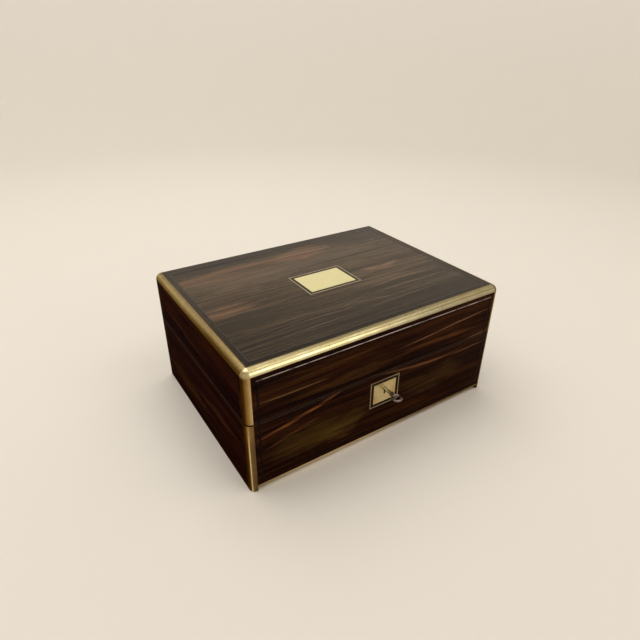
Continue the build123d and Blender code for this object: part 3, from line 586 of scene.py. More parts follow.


# the key's shank has a painted highlight along its upper left side and painted shade round the rest, and its bow is
# dull from handling
keyLook = {
    "shank": ((0.045, 0.033, 0.024), (1.00, 0.95, 0.78)), "bow": ((0.17, 0.125, 0.105), (0.33, 0.26, 0.22)),
    "axis": 0.0605, "radius": 0.0017, "highlightSide": (-0.65, 0.76), "paintedHighlight": (0.70, 0.97),
    "bowFrom": -0.1225, "bowTo": -0.1242, "roughness": (0.22, 0.36),
}


def keyMaterial():
    material, tree, shader = newMaterial("keySteel")
    point = objectPoint(tree)
    parts = pointParts(tree, point)
    wear = useGroup(tree, wearGroup, Vector=point)
    across = maths(tree, "MULTIPLY", parts[0], keyLook["highlightSide"][0] / keyLook["radius"])
    height = maths(tree, "SUBTRACT", parts[2], keyLook["axis"])
    towardHighlight = maths(tree, "ADD", across, maths(tree, "MULTIPLY", height, keyLook["highlightSide"][1] / keyLook["radius"]))
    # painted highlight on the side of the shank facing up and to the left, painted shade on its other sides
    shank = blendColours(tree, remap(tree, towardHighlight, *keyLook["paintedHighlight"]), *keyLook["shank"])
    bow = blendColours(tree, wear["Hairline"], *keyLook["bow"])
    colour = blendColours(tree, remap(tree, parts[1], keyLook["bowFrom"], keyLook["bowTo"]), shank, bow)
    finishMetal(tree, shader, wear, brassWorn(tree, wear, colour, (0.60, 0.55, 0.50), 0.5), keyLook["roughness"])
    return material


dress(keyMaterial(), "key")


# the thin brass lines let in round the two plates, their rims gone dark with old polish
plateLines = {
    "lid_plate_line": {"axes": (0, 1), "brass": (0.53, 0.46, 0.34), "rim": (0.060, 0.044, 0.026)},
    "escutcheon_line": {"axes": (0, 2), "brass": (0.30, 0.225, 0.135), "rim": (0.012, 0.006, 0.002)},
}
plateLineReach = {"middle": 0.00085, "half": 0.00042, "soft": 0.00035}


def plateLineMaterial(nodeName, look):
    material, tree, shader = newMaterial("brassLine" + ("Lid" if nodeName == "lid_plate_line" else "Escutcheon"))
    point = objectPoint(tree)
    parts = pointParts(tree, point)
    wear = useGroup(tree, wearGroup, Vector=point)
    low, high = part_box(nodeName)
    inset = None
    for axis in look["axes"]:
        away = maths(tree, "ABSOLUTE", maths(tree, "SUBTRACT", parts[axis], (low[axis] + high[axis]) / 2))
        edge = maths(tree, "SUBTRACT", (high[axis] - low[axis]) / 2, away)
        inset = edge if inset is None else maths(tree, "MINIMUM", inset, edge)
    clean = within(tree, inset, plateLineReach["middle"], plateLineReach["half"], plateLineReach["soft"])
    brass = brassWorn(tree, wear, (*look["brass"], 1), (0.66, 0.58, 0.48), 0.6)
    tree.links.new(blendColours(tree, clean, look["rim"], brass), shader.inputs["Base Color"])
    tree.links.new(clean, shader.inputs["Metallic"])
    tree.links.new(remap(tree, wear["Height"], 0.3, 0.7, 0.28, 0.42), shader.inputs["Roughness"])
    shader.inputs["Specular IOR Level"].default_value = 0.1
    return material


for name, look in plateLines.items():
    dress(plateLineMaterial(name, look), name)


# brass edging: painted highlights, painted reflections and painted shade set into the colour, bright along each bead's
# crest and dark in its joints;
# the colours run round the bead from its lower or side joint to its upper or front one, at its two ends
edging = {
    "radius": 0.0066,
    "edgeTint": (0.55, 0.48, 0.36),
    # painted highlight on the lower front of the bead towards its left end, a painted dark reflection line along it
    # towards its right end
    "lidFront": {
        "node": "lid_front_bead", "along": (0, -0.07, 0.07),
        "first": [(0.0, (0.68, 0.59, 0.32)), (0.11, (1.00, 0.95, 0.60)), (0.24, (0.98, 0.90, 0.52)), (0.46, (0.80, 0.71, 0.38)), (0.68, (0.42, 0.35, 0.18)), (1.0, (0.38, 0.31, 0.16))],
        "last": [(0.0, (0.42, 0.37, 0.24)), (0.20, (0.60, 0.55, 0.37)), (0.44, (0.37, 0.31, 0.17)), (0.70, (0.58, 0.49, 0.28)), (1.0, (0.48, 0.40, 0.22))],
    },
    "baseFront": {
        "node": "base_front_bead", "along": (0, -0.10, 0.10), "paintedHighlight": (-0.060, 0.028, 0.095),
        "first": [(0.0, (0.80, 0.62, 0.38)), (0.3, (1.00, 0.90, 0.66)), (1.0, (1.00, 0.92, 0.68))],
        "last": [(0.0, (0.30, 0.21, 0.11)), (0.5, (0.40, 0.29, 0.16)), (1.0, (0.38, 0.28, 0.16))],
    },
    "lidSides": {
        "node": "lid_side_beads", "along": (1, -0.06, 0.05),
        "first": [(0.0, (0.07, 0.045, 0.018)), (0.25, (0.12, 0.075, 0.030)), (0.55, (0.33, 0.23, 0.095)), (0.78, (0.48, 0.37, 0.17)), (1.0, (0.28, 0.20, 0.09))],
        "last": [(0.0, (0.14, 0.10, 0.050)), (0.25, (0.36, 0.27, 0.13)), (0.55, (0.58, 0.47, 0.25)), (0.80, (0.54, 0.44, 0.24)), (1.0, (0.32, 0.25, 0.13))],
    },
    # painted reflection: near-black at the side joint, lighter towards the front joint
    "lidCorners": {
        "node": "lid_corner_beads", "along": (2, 0.1285, 0.1335),
        "first": [(0.0, (0.035, 0.015, 0.004)), (0.25, (0.070, 0.030, 0.007)), (0.50, (0.20, 0.105, 0.027)), (0.82, (0.33, 0.205, 0.070)), (1.0, (0.52, 0.38, 0.18))],
        "last": [(0.0, (0.34, 0.26, 0.12)), (0.5, (0.62, 0.53, 0.30)), (1.0, (0.66, 0.57, 0.32))],
    },
    # painted highlight: a bright stripe down the middle of the base's corner beads, near-black at their side joints
    "baseCorners": {
        "node": "base_corner_beads", "along": (2, 0.048, 0.078),
        "first": [(0.0, (0.035, 0.015, 0.004)), (0.33, (0.13, 0.068, 0.021)), (0.50, (1.00, 0.78, 0.44)), (0.61, (0.20, 0.125, 0.052)), (1.0, (0.14, 0.088, 0.037))],
        "last": [(0.0, (0.040, 0.018, 0.005)), (0.27, (0.17, 0.088, 0.026)), (0.52, (0.44, 0.29, 0.11)), (0.75, (0.25, 0.155, 0.060)), (1.0, (0.22, 0.140, 0.055))],
    },
}


def edgingMaterial(name, look):
    material, tree, shader = newMaterial("brass" + name[0].upper() + name[1:])
    point = objectPoint(tree)
    parts = pointParts(tree, point)
    wear = useGroup(tree, wearGroup, Vector=point)
    radius = edging["radius"]
    outX = maths(tree, "SUBTRACT", maths(tree, "ABSOLUTE", parts[0]), boxShape["halfWidth"] - radius)
    outY = maths(tree, "SUBTRACT", maths(tree, "MULTIPLY", parts[1], -1.0), boxShape["halfDepth"] - radius)
    outZ = maths(tree, "SUBTRACT", parts[2], boxShape["height"] - radius)
    if name == "baseFront":
        outZ = maths(tree, "SUBTRACT", radius + 0.0008, parts[2])
    low, high = {"lidSides": (outX, outZ), "lidCorners": (outX, outY), "baseCorners": (outX, outY)}.get(name, (outY, outZ))
    around = remap(tree, maths(tree, "SUBTRACT", high, low), -radius, radius)
    axis, start, end = look["along"]
    along = remap(tree, parts[axis], start, end)
    if "paintedHighlight" in look:
        # painted highlight: bright in one stretch only, and dull towards both ends
        along = maths(tree, "SUBTRACT", 1.0, within(tree, parts[axis], *look["paintedHighlight"]))
    colour = blendColours(tree, along, ramp(tree, around, look["first"]), ramp(tree, around, look["last"]))
    colour = brassWorn(tree, wear, colour, (0.72, 0.62, 0.48), 0.45)
    if name in ("lidSides", "lidCorners", "baseCorners"):
        # painted shade: the right-hand edging is darkened
        rightHandShade = blendColours(tree, 1.0, colour, (0.42, 0.38, 0.32), "MULTIPLY")
        colour = blendColours(tree, remap(tree, parts[0], -0.05, 0.05), colour, rightHandShade)
    if name in ("lidCorners", "baseCorners"):
        # painted shadow: the joint between base and lid shows as a dark gap across the edging
        colour = blendColours(tree, within(tree, parts[2], boxShape["seam"], 0.0007, 0.0003), colour, (0.004, 0.003, 0.002))
    finishMetal(tree, shader, wear, colour, (0.24, 0.36))
    shader.inputs["Specular Tint"].default_value = (*edging["edgeTint"], 1)
    return material


for name, look in edging.items():
    if name not in ("radius", "edgeTint"):
        dress(edgingMaterial(name, look), look["node"])
print("metals dressed")


# glass and mirror
def glassMaterial():
    material, tree, shader = newMaterial("cutGlass")
    shader.inputs["Base Color"].default_value = (0.97, 0.99, 0.985, 1)
    shader.inputs["Transmission Weight"].default_value = 1.0
    shader.inputs["IOR"].default_value = 1.52
    smear = noise(tree, objectPoint(tree), 90.0, 3.0)
    tree.links.new(remap(tree, smear, 0.4, 0.8, 0.01, 0.08), shader.inputs["Roughness"])
    return material


def mirrorMaterial():
    material, tree, shader = newMaterial("mirrorSilver")
    point = objectPoint(tree)
    foxing = remap(tree, noise(tree, point, 160.0, 4.0, 0.65), 0.64, 0.76)
    tree.links.new(blendColours(tree, foxing, (0.90, 0.90, 0.89), (0.42, 0.37, 0.30)), shader.inputs["Base Color"])
    shader.inputs["Metallic"].default_value = 1.0
    tree.links.new(remap(tree, noise(tree, point, 30.0), 0.3, 0.8, 0.01, 0.06), shader.inputs["Roughness"])
    return material


dress(glassMaterial(), "jar_left", "jar_right", "bottle_left", "bottle_right")
dress(mirrorMaterial(), "mirror_glass")


# cloth and leather
cloths = {
    "crimsonVelvet": {"deep": (0.070, 0.004, 0.010), "raised": (0.300, 0.024, 0.050), "scale": 2600.0, "sheen": 0.9},
    "crimsonSatin": {"deep": (0.130, 0.008, 0.018), "raised": (0.420, 0.045, 0.080), "scale": 3200.0, "sheen": 0.4},
    "greenBaize": {"deep": (0.014, 0.026, 0.016), "raised": (0.050, 0.085, 0.055), "scale": 1800.0, "sheen": 0.2},
}


def clothMaterial(name, look):
    material, tree, shader = newMaterial(name)
    point = objectPoint(tree)
    nap = noise(tree, point, look["scale"], 2.0, 0.7)
    brushed = noise(tree, point, 38.0, 3.0, 0.6)
    mixed = maths(tree, "ADD", maths(tree, "MULTIPLY", nap, 0.5), maths(tree, "MULTIPLY", brushed, 0.5))
    tree.links.new(ramp(tree, mixed, [(0.36, look["deep"]), (0.66, look["raised"])]), shader.inputs["Base Color"])
    tree.links.new(remap(tree, nap, 0.3, 0.7, 0.75, 0.95), shader.inputs["Roughness"])
    shader.inputs["Sheen Weight"].default_value = look["sheen"]
    shader.inputs["Sheen Roughness"].default_value = 0.4
    shader.inputs["Sheen Tint"].default_value = (*look["raised"], 1)
    shader.inputs["Specular IOR Level"].default_value = 0.1
    bumpNormal(tree, shader, nap, 0.5, 0.0003)
    return material


clothMaterials = {name: clothMaterial(name, look) for name, look in cloths.items()}

leather = {"deep": (0.070, 0.010, 0.010), "raised": (0.160, 0.030, 0.024), "gilt": (0.80, 0.60, 0.24)}


def leatherMaterial(name, giltLines):
    # giltLines: (inset from the piece's outer edge, half width) of each tooled line; box is the piece's own box
    material, tree, shader = newMaterial(name)
    point = objectPoint(tree)
    parts = pointParts(tree, point)
    cells = put(tree, "TexVoronoi", {"Vector": point, "Scale": 900.0}, feature="SMOOTH_F1").outputs["Distance"]
    shade = noise(tree, point, 40.0, 3.0)
    colour = ramp(tree, shade, [(0.35, leather["deep"]), (0.70, leather["raised"])])
    rough = remap(tree, shade, 0.3, 0.7, 0.38, 0.55)
    gilt = None
    low, high = giltLines["box"]
    middle = [(a + b) / 2 for a, b in zip(low, high)]
    half = [(b - a) / 2 for a, b in zip(low, high)]
    offsets = [maths(tree, "ABSOLUTE", maths(tree, "SUBTRACT", parts[i], middle[i])) for i in (0, 1)]
    inset = maths(
        tree, "MINIMUM", maths(tree, "SUBTRACT", half[0], offsets[0]), maths(tree, "SUBTRACT", half[1], offsets[1]),
    )
    for place, reach in giltLines["lines"]:
        line = within(tree, inset, place, reach, 0.00012)
        gilt = line if gilt is None else maths(tree, "MAXIMUM", gilt, line)
    broken = remap(tree, noise(tree, point, 320.0, 2.0, 0.6), 0.30, 0.42)
    gilt = maths(tree, "MULTIPLY", gilt, broken)
    tree.links.new(blendColours(tree, gilt, colour, leather["gilt"]), shader.inputs["Base Color"])
    tree.links.new(gilt, shader.inputs["Metallic"])
    tree.links.new(maths(tree, "SUBTRACT", rough, maths(tree, "MULTIPLY", gilt, 0.12)), shader.inputs["Roughness"])
    height = maths(tree, "SUBTRACT", maths(tree, "MULTIPLY", cells, 0.5), gilt)
    bumpNormal(tree, shader, height, 0.35, 0.0002)
    return material


giltRules = [(0.0040, 0.00045), (0.0056, 0.00018), (0.0190, 0.00018), (0.0206, 0.00045)]
dress(
    leatherMaterial("moroccoFrame", {"box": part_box("mirror_frame"), "lines": giltRules}), "mirror_frame",
)
print("glass, cloth and leather dressed")


# mesh helpers for the soft and fine pieces
def newPiece(name, mesh, material, body, smooth=True):
    data = bpy.data.meshes.new(name)
    mesh.to_mesh(data)
    mesh.free()
    for polygon in data.polygons:
        polygon.use_smooth = smooth
    data.materials.append(material)
    piece = bpy.data.objects.new(name, data)
    scene.collection.objects.link(piece)
    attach(piece, body)
    return piece


def islandBoxes(nodeName):
    # the box of each separate solid in a CAD node, from left to right
    mesh = bmesh.new()
    mesh.from_mesh(nodes[nodeName].data)
    bmesh.ops.remove_doubles(mesh, verts=mesh.verts, dist=1e-6)
    boxes = []
    waiting = set(mesh.verts)
    while waiting:
        island, edge = set(), [waiting.pop()]
        while edge:
            vertex = edge.pop()
            island.add(vertex)
            for link in vertex.link_edges:
                other = link.other_vert(vertex)
                if other in waiting:
                    waiting.remove(other)
                    edge.append(other)
        places = [vertex.co for vertex in island]
        low = Vector([min(place[axis] for place in places) for axis in range(3)])
        high = Vector([max(place[axis] for place in places) for axis in range(3)])
        boxes.append((low, high))
    mesh.free()
    return sorted(boxes, key=lambda pair: (round(pair[0].x, 4), round(pair[0].y, 4)))


def addSlab(mesh, low, high, pitch):
    # a closed slab whose top and bottom are a grid of about the given pitch
    size = high - low
    columns, rows = (max(2, round(size[axis] / pitch)) for axis in (0, 1))
    made = bmesh.ops.create_grid(mesh, x_segments=columns, y_segments=rows, size=0.5)
    verts = made["verts"]
    bmesh.ops.scale(mesh, vec=(size.x, size.y, 1), verts=verts)
    middle = (low + high) / 2
    bmesh.ops.translate(mesh, vec=(middle.x, middle.y, low.z), verts=verts)
    faces = list({face for vertex in verts for face in vertex.link_faces})
    raised = bmesh.ops.extrude_face_region(mesh, geom=faces, use_keep_orig=True)
    top = [item for item in raised["geom"] if isinstance(item, bmesh.types.BMVert)]
    bmesh.ops.translate(mesh, vec=(0, 0, size.z), verts=top)
    return verts + top


def addRoll(mesh, low, high, radius, pitch):
    # a closed round roll along y, with grid rings, lying on the bottom of its box
    length = high.y - low.y
    made = bmesh.ops.create_cone(
        mesh, cap_ends=True, cap_tris=False, segments=24, radius1=radius, radius2=radius, depth=length,
    )
    verts = made["verts"]
    bmesh.ops.rotate(mesh, verts=verts, cent=(0, 0, 0), matrix=Matrix.Rotation(math.pi / 2, 3, "X"))
    place = Vector(((low.x + high.x) / 2, (low.y + high.y) / 2, high.z - radius))
    bmesh.ops.translate(mesh, vec=place, verts=verts)
    caps = [face for face in {face for vertex in verts for face in vertex.link_faces} if len(face.verts) > 4]
    bmesh.ops.inset_region(mesh, faces=caps, thickness=radius * 0.45, use_even_offset=True)
    return int(length / pitch)


def addFrame(mesh, low, high, width, rounding):
    # a mitred rectangular moulding that fills the box's rim, all its long edges rounded
    made = bmesh.ops.create_grid(mesh, x_segments=1, y_segments=1, size=0.5)
    bmesh.ops.scale(mesh, vec=(high.x - low.x, high.y - low.y, 1), verts=made["verts"])
    bmesh.ops.translate(mesh, vec=((low.x + high.x) / 2, (low.y + high.y) / 2, low.z), verts=made["verts"])
    field = list({face for vertex in made["verts"] for face in vertex.link_faces})
    bmesh.ops.inset_region(mesh, faces=field, thickness=width, use_boundary=True, use_even_offset=True)
    rim = list({face for vertex in made["verts"] for face in vertex.link_faces} - set(field))
    bmesh.ops.delete(mesh, geom=field, context="FACES")
    raised = bmesh.ops.extrude_face_region(mesh, geom=rim, use_keep_orig=True)
    top = [item for item in raised["geom"] if isinstance(item, bmesh.types.BMVert)]
    bmesh.ops.translate(mesh, vec=(0, 0, high.z - low.z), verts=top)
    corners = set(top) | {vertex for face in rim for vertex in face.verts}
    long = [
        edge for edge in {edge for vertex in corners for edge in vertex.link_edges}
        if abs(edge.verts[0].co.z - edge.verts[1].co.z) < 1e-6
        and min(abs(edge.verts[0].co.x - edge.verts[1].co.x), abs(edge.verts[0].co.y - edge.verts[1].co.y)) < 1e-6
    ]
    bmesh.ops.bevel(mesh, geom=long, offset=rounding, segments=4, profile=0.5, affect="EDGES", material=-1)


def cutAcross(mesh, low, high, count):
    for step in range(1, count):
        y = low + (high - low) * step / count
        geometry = mesh.verts[:] + mesh.edges[:] + mesh.faces[:]
        bmesh.ops.bisect_plane(mesh, geom=geometry, dist=1e-7, plane_co=(0, y, 0), plane_no=(0, 1, 0))


def stuff(piece, pressure, cap, limits):
    # swell a closed cover with the cloth solver; limits keeps it inside its own space
    data = piece.data
    start = [vertex.co.copy() for vertex in data.vertices]
    cloth = piece.modifiers.new("stuffing", "CLOTH")
    settings = cloth.settings
    settings.quality = 6
    settings.mass = 0.15
    settings.tension_stiffness = 12
    settings.compression_stiffness = 12
    settings.shear_stiffness = 6
    settings.bending_stiffness = 0.3
    settings.use_pressure = True
    settings.uniform_pressure_force = pressure
    settings.effector_weights.gravity = 0.0
    cloth.collision_settings.use_collision = False
    for step in range(1, 21):
        scene.frame_set(step)
    depsgraph = bpy.context.evaluated_depsgraph_get()
    swollen = [vertex.co.copy() for vertex in piece.evaluated_get(depsgraph).to_mesh().vertices]
    piece.evaluated_get(depsgraph).to_mesh_clear()
    piece.modifiers.remove(cloth)
    scene.frame_set(1)
    low, high = limits
    for vertex, old, new in zip(data.vertices, start, swollen):
        move = new - old
        if move.length > cap:
            move = move * (cap / move.length)
        place = old + move
        vertex.co = [min(max(place[axis], low[axis]), high[axis]) for axis in range(3)]
    data.update()


def roundOff(piece, levels=1):
    smooth = piece.modifiers.new("smooth", "SUBSURF")
    smooth.levels = levels
    smooth.render_levels = levels


# small nails that hold the edging down
beadNail = {
    "radius": 0.00062, "proud": 0.00016, "depth": 0.0010, "tilt": 35.0,
    "alongFront": (-0.136, -0.068, 0.0, 0.068, 0.136),
    "alongSides": (-0.085, -0.015, 0.055),
}


def makeBeadNails():
    mesh = bmesh.new()
    tilt = math.radians(beadNail["tilt"])
    radius = edging["radius"]
    high = boxShape["height"] - radius
    sunk = radius + beadNail["proud"] - beadNail["depth"] / 2
    rows = [(Vector((x, radius - boxShape["halfDepth"], high)), Vector((0, -math.cos(tilt), math.sin(tilt)))) for x in beadNail["alongFront"]]
    for side in (-1, 1):
        foot = side * (boxShape["halfWidth"] - radius)
        out = Vector((side * math.cos(tilt), 0, math.sin(tilt)))
        rows += [(Vector((foot, y, high)), out) for y in beadNail["alongSides"]]
    for centre, out in rows:
        made = bmesh.ops.create_cone(
            mesh, cap_ends=True, segments=16, radius1=beadNail["radius"], radius2=beadNail["radius"] * 0.8, depth=beadNail["depth"],
        )
        turn = out.to_track_quat("Z", "Y").to_matrix().to_4x4()
        bmesh.ops.transform(mesh, matrix=Matrix.Translation(centre + out * sunk) @ turn, verts=made["verts"])
    bmesh.ops.recalc_face_normals(mesh, faces=mesh.faces)
    nails = newPiece("edgingNails", mesh, metalMaterials["nailBrass"], "lid", smooth=False)


makeBeadNails()
print("edging nailed")


# velvet cushions in the three compartments of the lift-out tray
trayCushion = {"pitch": 0.0032, "startInset": 0.0008, "pressure": 4.0, "cap": 0.0035, "crown": 0.0022, "fill": 0.6}


def makeTrayCushions():
    for place, (low, high) in zip(("left", "middle", "right"), islandBoxes("tray_pads")):
        inset = Vector((trayCushion["startInset"], trayCushion["startInset"], 0))
        mesh = bmesh.new()
        addSlab(mesh, low + inset, high - inset, trayCushion["pitch"])
        bmesh.ops.recalc_face_normals(mesh, faces=mesh.faces)
        cushion = newPiece("trayCushion_" + place, mesh, clothMaterials["crimsonVelvet"], "tray")
        roof = high + Vector((0, 0, trayCushion["crown"]))
        stuff(cushion, trayCushion["pressure"], trayCushion["cap"], (low, roof))
        roundOff(cushion)
        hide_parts("tray_pads")


makeTrayCushions()

# satin piping sewn round each cushion
piping = {"width": 0.0022, "height": 0.0022, "inset": 0.0002, "sink": 0.0006, "rounding": 0.00100}


def makePiping():
    mesh = bmesh.new()
    for low, high in islandBoxes("tray_pads"):
        inset = Vector((piping["inset"], piping["inset"], 0))
        level = high.z - piping["sink"]
        start = Vector((low.x, low.y, level)) + inset
        end = Vector((high.x, high.y, level + piping["height"])) - inset
        addFrame(mesh, start, end, piping["width"], piping["rounding"])
    bmesh.ops.recalc_face_normals(mesh, faces=mesh.faces)
    cord = newPiece("trayPiping", mesh, clothMaterials["crimsonSatin"], "tray")


makePiping()
print("tray cushions stuffed and piped")


# thin velvet pads on the floors of the cells
cellPad = {"pitch": 0.006, "fill": 0.2, "edge": 0.0004}


def makeCellPads():
    for index, (low, high) in enumerate(islandBoxes("cell_pads")):
        mesh = bmesh.new()
        addSlab(mesh, low, high, cellPad["pitch"])
        bmesh.ops.recalc_face_normals(mesh, faces=mesh.faces)
        rim = [edge for edge in mesh.edges if edge.calc_face_angle(0) > 1.0 and edge.verts[0].co.z > low.z + 1e-5]
        rim = [edge for edge in rim if edge.verts[1].co.z > low.z + 1e-5]
        bmesh.ops.bevel(
            mesh, geom=rim, offset=cellPad["edge"], segments=2, profile=0.5, affect="EDGES", material=-1,
        )
        pad = newPiece("cellPad_" + str(index), mesh, clothMaterials["crimsonVelvet"], "base")
        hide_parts("cell_pads")


makeCellPads()
print("cell pads laid")


# the drawer's velvet: a flat pad at the back and a row of ring rolls
drawerVelvet = {"pitch": 0.0034, "rollStart": 0.0058, "rollRadius": 0.0065, "pressure": 3.0, "cap": 0.0012, "fill": 0.7}


def makeDrawerVelvet():
    boxes = islandBoxes("drawer_padding")
    padBox = max(boxes, key=lambda pair: pair[1].x - pair[0].x)
    rollBoxes = [pair for pair in boxes if pair is not padBox]
    mesh = bmesh.new()
    addSlab(mesh, padBox[0], padBox[1], 0.004)
    bmesh.ops.recalc_face_normals(mesh, faces=mesh.faces)
    pad = newPiece("drawerPad", mesh, clothMaterials["crimsonVelvet"], "drawer")
    stuff(pad, 3.0, 0.0015, (padBox[0], padBox[1] + Vector((0, 0, 0.0012))))
    roundOff(pad)
    mesh = bmesh.new()
    for low, high in rollBoxes:
        cuts = addRoll(mesh, low, high, drawerVelvet["rollStart"], drawerVelvet["pitch"])
    cutAcross(mesh, rollBoxes[0][0].y, rollBoxes[0][1].y, cuts)
    bmesh.ops.recalc_face_normals(mesh, faces=mesh.faces)
    rolls = newPiece("ringRolls", mesh, clothMaterials["crimsonVelvet"], "drawer")
    low = Vector([min(pair[0][axis] for pair in rollBoxes) for axis in range(3)])
    high = Vector([max(pair[1][axis] for pair in rollBoxes) for axis in range(3)])
    stuff(rolls, drawerVelvet["pressure"], drawerVelvet["cap"], (low, high + Vector((0, 0, 0.0005))))
    roundOff(rolls)
    for piece in (pad, rolls):
        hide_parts("drawer_padding")


makeDrawerVelvet()
print("drawer velvet and ring rolls stuffed")


# velvet sheet glued inside the lid, and the baize under the box
def makeSheet(name, nodeName, body, material, pitch, corner=0.003):
    low, high = (Vector(corner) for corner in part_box(nodeName))
    mesh = bmesh.new()
    addSlab(mesh, low, high, pitch)
    upright = [
        edge for edge in mesh.edges
        if abs(edge.verts[0].co.z - edge.verts[1].co.z) > 1e-5
        and all(len([f for f in v.link_faces]) == 3 for v in edge.verts)
    ]
    bmesh.ops.bevel(mesh, geom=upright, offset=corner, segments=5, profile=0.5, affect="EDGES", material=-1)
    bmesh.ops.recalc_face_normals(mesh, faces=mesh.faces)
    sheet = newPiece(name, mesh, material, body, smooth=False)
    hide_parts(nodeName)


makeSheet("lidVelvet", "lid_lining", "lid", clothMaterials["crimsonVelvet"], 0.006)
makeSheet("baizeSheet", "underside_baize", "base", clothMaterials["greenBaize"], 0.008, 0.0068)
print("lid velvet and baize glued")


# gilt slip round the mirror's glass
mirrorSlip = {"width": 0.0026, "proud": 0.0010, "over": 0.0011, "rounding": 0.0007}


def makeMirrorSlip():
    low, high = (Vector(corner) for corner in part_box("mirror_glass"))
    over = Vector((mirrorSlip["over"], mirrorSlip["over"], 0))
    mesh = bmesh.new()
    start = Vector((low.x, low.y, low.z - mirrorSlip["proud"])) - over
    end = Vector((high.x, high.y, low.z + mirrorSlip["rounding"])) + over
    addFrame(mesh, start, end, mirrorSlip["width"], mirrorSlip["rounding"])
    bmesh.ops.recalc_face_normals(mesh, faces=mesh.faces)
    slip = newPiece("mirrorSlip", mesh, metalMaterials["giltSlip"], "mirror", smooth=False)


makeMirrorSlip()
print("mirror slip fitted")


# a row of small beads and a fine wire round the top of each plated cover
coverBeading = {"inset": 0.0044, "radius": 0.00075, "pitch": 0.0019, "wireInset": 0.0062, "wireWidth": 0.0008, "wireProud": 0.0003}


def makeCoverBeading():
    for side in ("left", "right"):
        cover = "jar_" + side + "_cover"
        low, high = (Vector(corner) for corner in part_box(cover))
        start = low + Vector((coverBeading["inset"], coverBeading["inset"], 0))
        end = high - Vector((coverBeading["inset"], coverBeading["inset"], 0))
        corners = [(start.x, start.y), (end.x, start.y), (end.x, end.y), (start.x, end.y)]
        mesh = bmesh.new()
        for first, second in zip(corners, corners[1:] + corners[:1]):
            a, b = Vector((*first, high.z)), Vector((*second, high.z))
            count = round((b - a).length / coverBeading["pitch"])
            for step in range(count):
                matrix = Matrix.Translation(a.lerp(b, step / count))
                bmesh.ops.create_uvsphere(mesh, u_segments=8, v_segments=6, radius=coverBeading["radius"], matrix=matrix)
        wire = Vector((coverBeading["wireInset"], coverBeading["wireInset"], 0))
        wireLow = Vector((low.x, low.y, high.z - 0.0004)) + wire
        wireHigh = Vector((high.x, high.y, high.z + coverBeading["wireProud"])) - wire
        addFrame(mesh, wireLow, wireHigh, coverBeading["wireWidth"], 0.0002)
        bmesh.ops.recalc_face_normals(mesh, faces=mesh.faces)
        beading = newPiece("coverBeading_" + side, mesh, metalMaterials["silverPlate"], cover)


makeCoverBeading()
print("covers beaded")


# leather wallet in the lid, behind the mirror
wallet = {
    "edge": 0.0022, "flapDepth": 0.052, "flapThickness": 0.0011, "studRadius": 0.0032, "studRise": 0.0007,
    "studInset": 0.0095, "stitchInset": 0.0030, "stitchPitch": 0.0026,
}


def makeWallet():
    low, high = (Vector(corner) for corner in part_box("letter_wallet"))
    material = leatherMaterial("moroccoWallet", {"box": (low, high), "lines": [(0.0045, 0.00035), (0.0060, 0.00015)]})
    lift = Vector((0, 0, wallet["flapThickness"]))
    mesh = bmesh.new()
    addSlab(mesh, low + lift, high, 0.01)
    bmesh.ops.recalc_face_normals(mesh, faces=mesh.faces)
    rim = [edge for edge in mesh.edges if edge.calc_face_angle(0) > 1.0]
    bmesh.ops.bevel(mesh, geom=rim, offset=wallet["edge"], segments=4, profile=0.5, affect="EDGES", material=-1)
    body = newPiece("walletBody", mesh, material, "lid")
    mesh = bmesh.new()
    flapLow = Vector((low.x + 0.001, low.y + 0.001, low.z))
    flapHigh = Vector((high.x - 0.001, low.y + wallet["flapDepth"], low.z + wallet["flapThickness"] + 0.0003))
    addSlab(mesh, flapLow, flapHigh, 0.008)
    bmesh.ops.recalc_face_normals(mesh, faces=mesh.faces)
    rim = [edge for edge in mesh.edges if edge.calc_face_angle(0) > 1.0]
    bmesh.ops.bevel(mesh, geom=rim, offset=0.0004, segments=2, profile=0.5, affect="EDGES", material=-1)
    flap = newPiece("walletFlap", mesh, material, "lid")
    for piece in (body, flap):
        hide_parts("letter_wallet")
    mesh = bmesh.new()
    place = Vector(((low.x + high.x) / 2, flapHigh.y - wallet["studInset"], low.z))
    flatten = Matrix.Diagonal((1, 1, wallet["studRise"] / wallet["studRadius"], 1))
    bmesh.ops.create_uvsphere(
        mesh, u_segments=32, v_segments=16, radius=wallet["studRadius"], matrix=Matrix.Translation(place) @ flatten,
    )
    # stitches along the flap's edge
    stitches = round((flapHigh.x - flapLow.x - 2 * wallet["stitchInset"]) / wallet["stitchPitch"])
    for index in range(stitches):
        x = flapLow.x + wallet["stitchInset"] + (index + 0.5) * wallet["stitchPitch"]
        stitch = Matrix.Translation((x, flapHigh.y - wallet["stitchInset"] * 0.7, low.z)) @ Matrix.Diagonal((1, 0.35, 0.25, 1))
        bmesh.ops.create_uvsphere(mesh, u_segments=8, v_segments=6, radius=wallet["stitchPitch"] * 0.36, matrix=stitch)
    bmesh.ops.recalc_face_normals(mesh, faces=mesh.faces)
    trim = newPiece("walletTrim", mesh, metalMaterials["giltSlip"], "lid")


makeWallet()
print("wallet made")


# floor and studio
studio = {
    "radius": 2.2,
    "curve": 0.8,
    "height": 2.2,
    "floorColour": (0.74, 0.69, 0.62),
    "wallColour": (0.82, 0.785, 0.73),
}


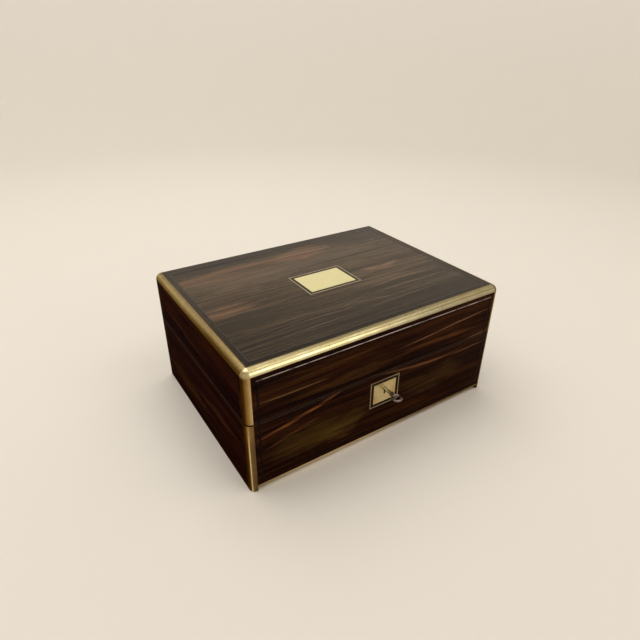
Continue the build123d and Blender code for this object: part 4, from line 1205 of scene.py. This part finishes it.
def makeStudio():
    # a shallow bowl: flat floor, a rounded foot and a straight wall
    mesh = bmesh.new()
    steps = 12
    points = [mesh.verts.new((0, 0, 0)), mesh.verts.new((studio["radius"] - studio["curve"], 0, 0))]
    for step in range(1, steps + 1):
        angle = math.pi / 2 * step / steps
        x = studio["radius"] - studio["curve"] * (1 - math.sin(angle))
        points.append(mesh.verts.new((x, 0, studio["curve"] * (1 - math.cos(angle)))))
    points.append(mesh.verts.new((studio["radius"], 0, studio["height"])))
    edges = [mesh.edges.new(pair) for pair in zip(points[:-1], points[1:])]
    bmesh.ops.spin(
        mesh, geom=points + edges, cent=(0, 0, 0), axis=(0, 0, 1), angle=math.tau, steps=96, use_merge=True,
    )
    bmesh.ops.remove_doubles(mesh, verts=mesh.verts, dist=1e-5)
    bmesh.ops.recalc_face_normals(mesh, faces=mesh.faces)
    data = bpy.data.meshes.new("studioSweep")
    mesh.to_mesh(data)
    mesh.free()
    for polygon in data.polygons:
        polygon.use_smooth = True
    sweep = bpy.data.objects.new("studioSweep", data)
    scene.collection.objects.link(sweep)
    material, tree, shader = newMaterial("palePaper")
    height = pointParts(tree, objectPoint(tree))[2]
    tint = blendColours(tree, remap(tree, height, 0.0, studio["curve"]), studio["floorColour"], studio["wallColour"])
    tree.links.new(tint, shader.inputs["Base Color"])
    shader.inputs["Roughness"].default_value = 0.9
    shader.inputs["Specular IOR Level"].default_value = 0.1
    data.materials.append(material)


def makeLamp(name, place, target, size, power, colour, spread):
    data = bpy.data.lights.new(name, "AREA")
    data.shape = "RECTANGLE"
    data.size, data.size_y = size
    data.energy = power
    data.color = colour
    data.spread = math.radians(spread)
    lamp = bpy.data.objects.new(name, data)
    lamp.visible_camera = False  # seen only by what it lights and by reflections
    lamp.location = place
    lamp.rotation_mode = "QUATERNION"
    lamp.rotation_quaternion = (Vector(target) - Vector(place)).to_track_quat("-Z", "Y")
    scene.collection.objects.link(lamp)


lamps = {
    "window": {"place": (0.66, -1.75, 0.62), "size": (0.8, 0.9), "power": 2.73, "colour": (1.0, 0.97, 0.90), "spread": 150},
    "ceiling": {"place": (-0.3, 0.5, 1.9), "size": (2.0, 1.8), "power": 27.0, "colour": (1.0, 0.985, 0.96)},
    "backWash": {"place": (0.6, -0.6, 1.8), "target": (0.7, 2.0, 0.7), "size": (1.2, 1.2), "power": 9.0, "colour": (1.0, 0.985, 0.96)},
}


def makeWorld():
    world = bpy.data.worlds.new("softRoom")
    scene.world = world
    world.use_nodes = True
    background = world.node_tree.nodes["Background"]
    background.inputs["Color"].default_value = (0.82, 0.79, 0.74, 1)
    background.inputs["Strength"].default_value = 0.5


makeStudio()
makeWorld()
for name, lamp in lamps.items():
    target = lamp.get("target", (0, 0, 0.06))
    makeLamp(name, lamp["place"], target, lamp["size"], lamp["power"], lamp["colour"], lamp.get("spread", 180))
print("studio lit")
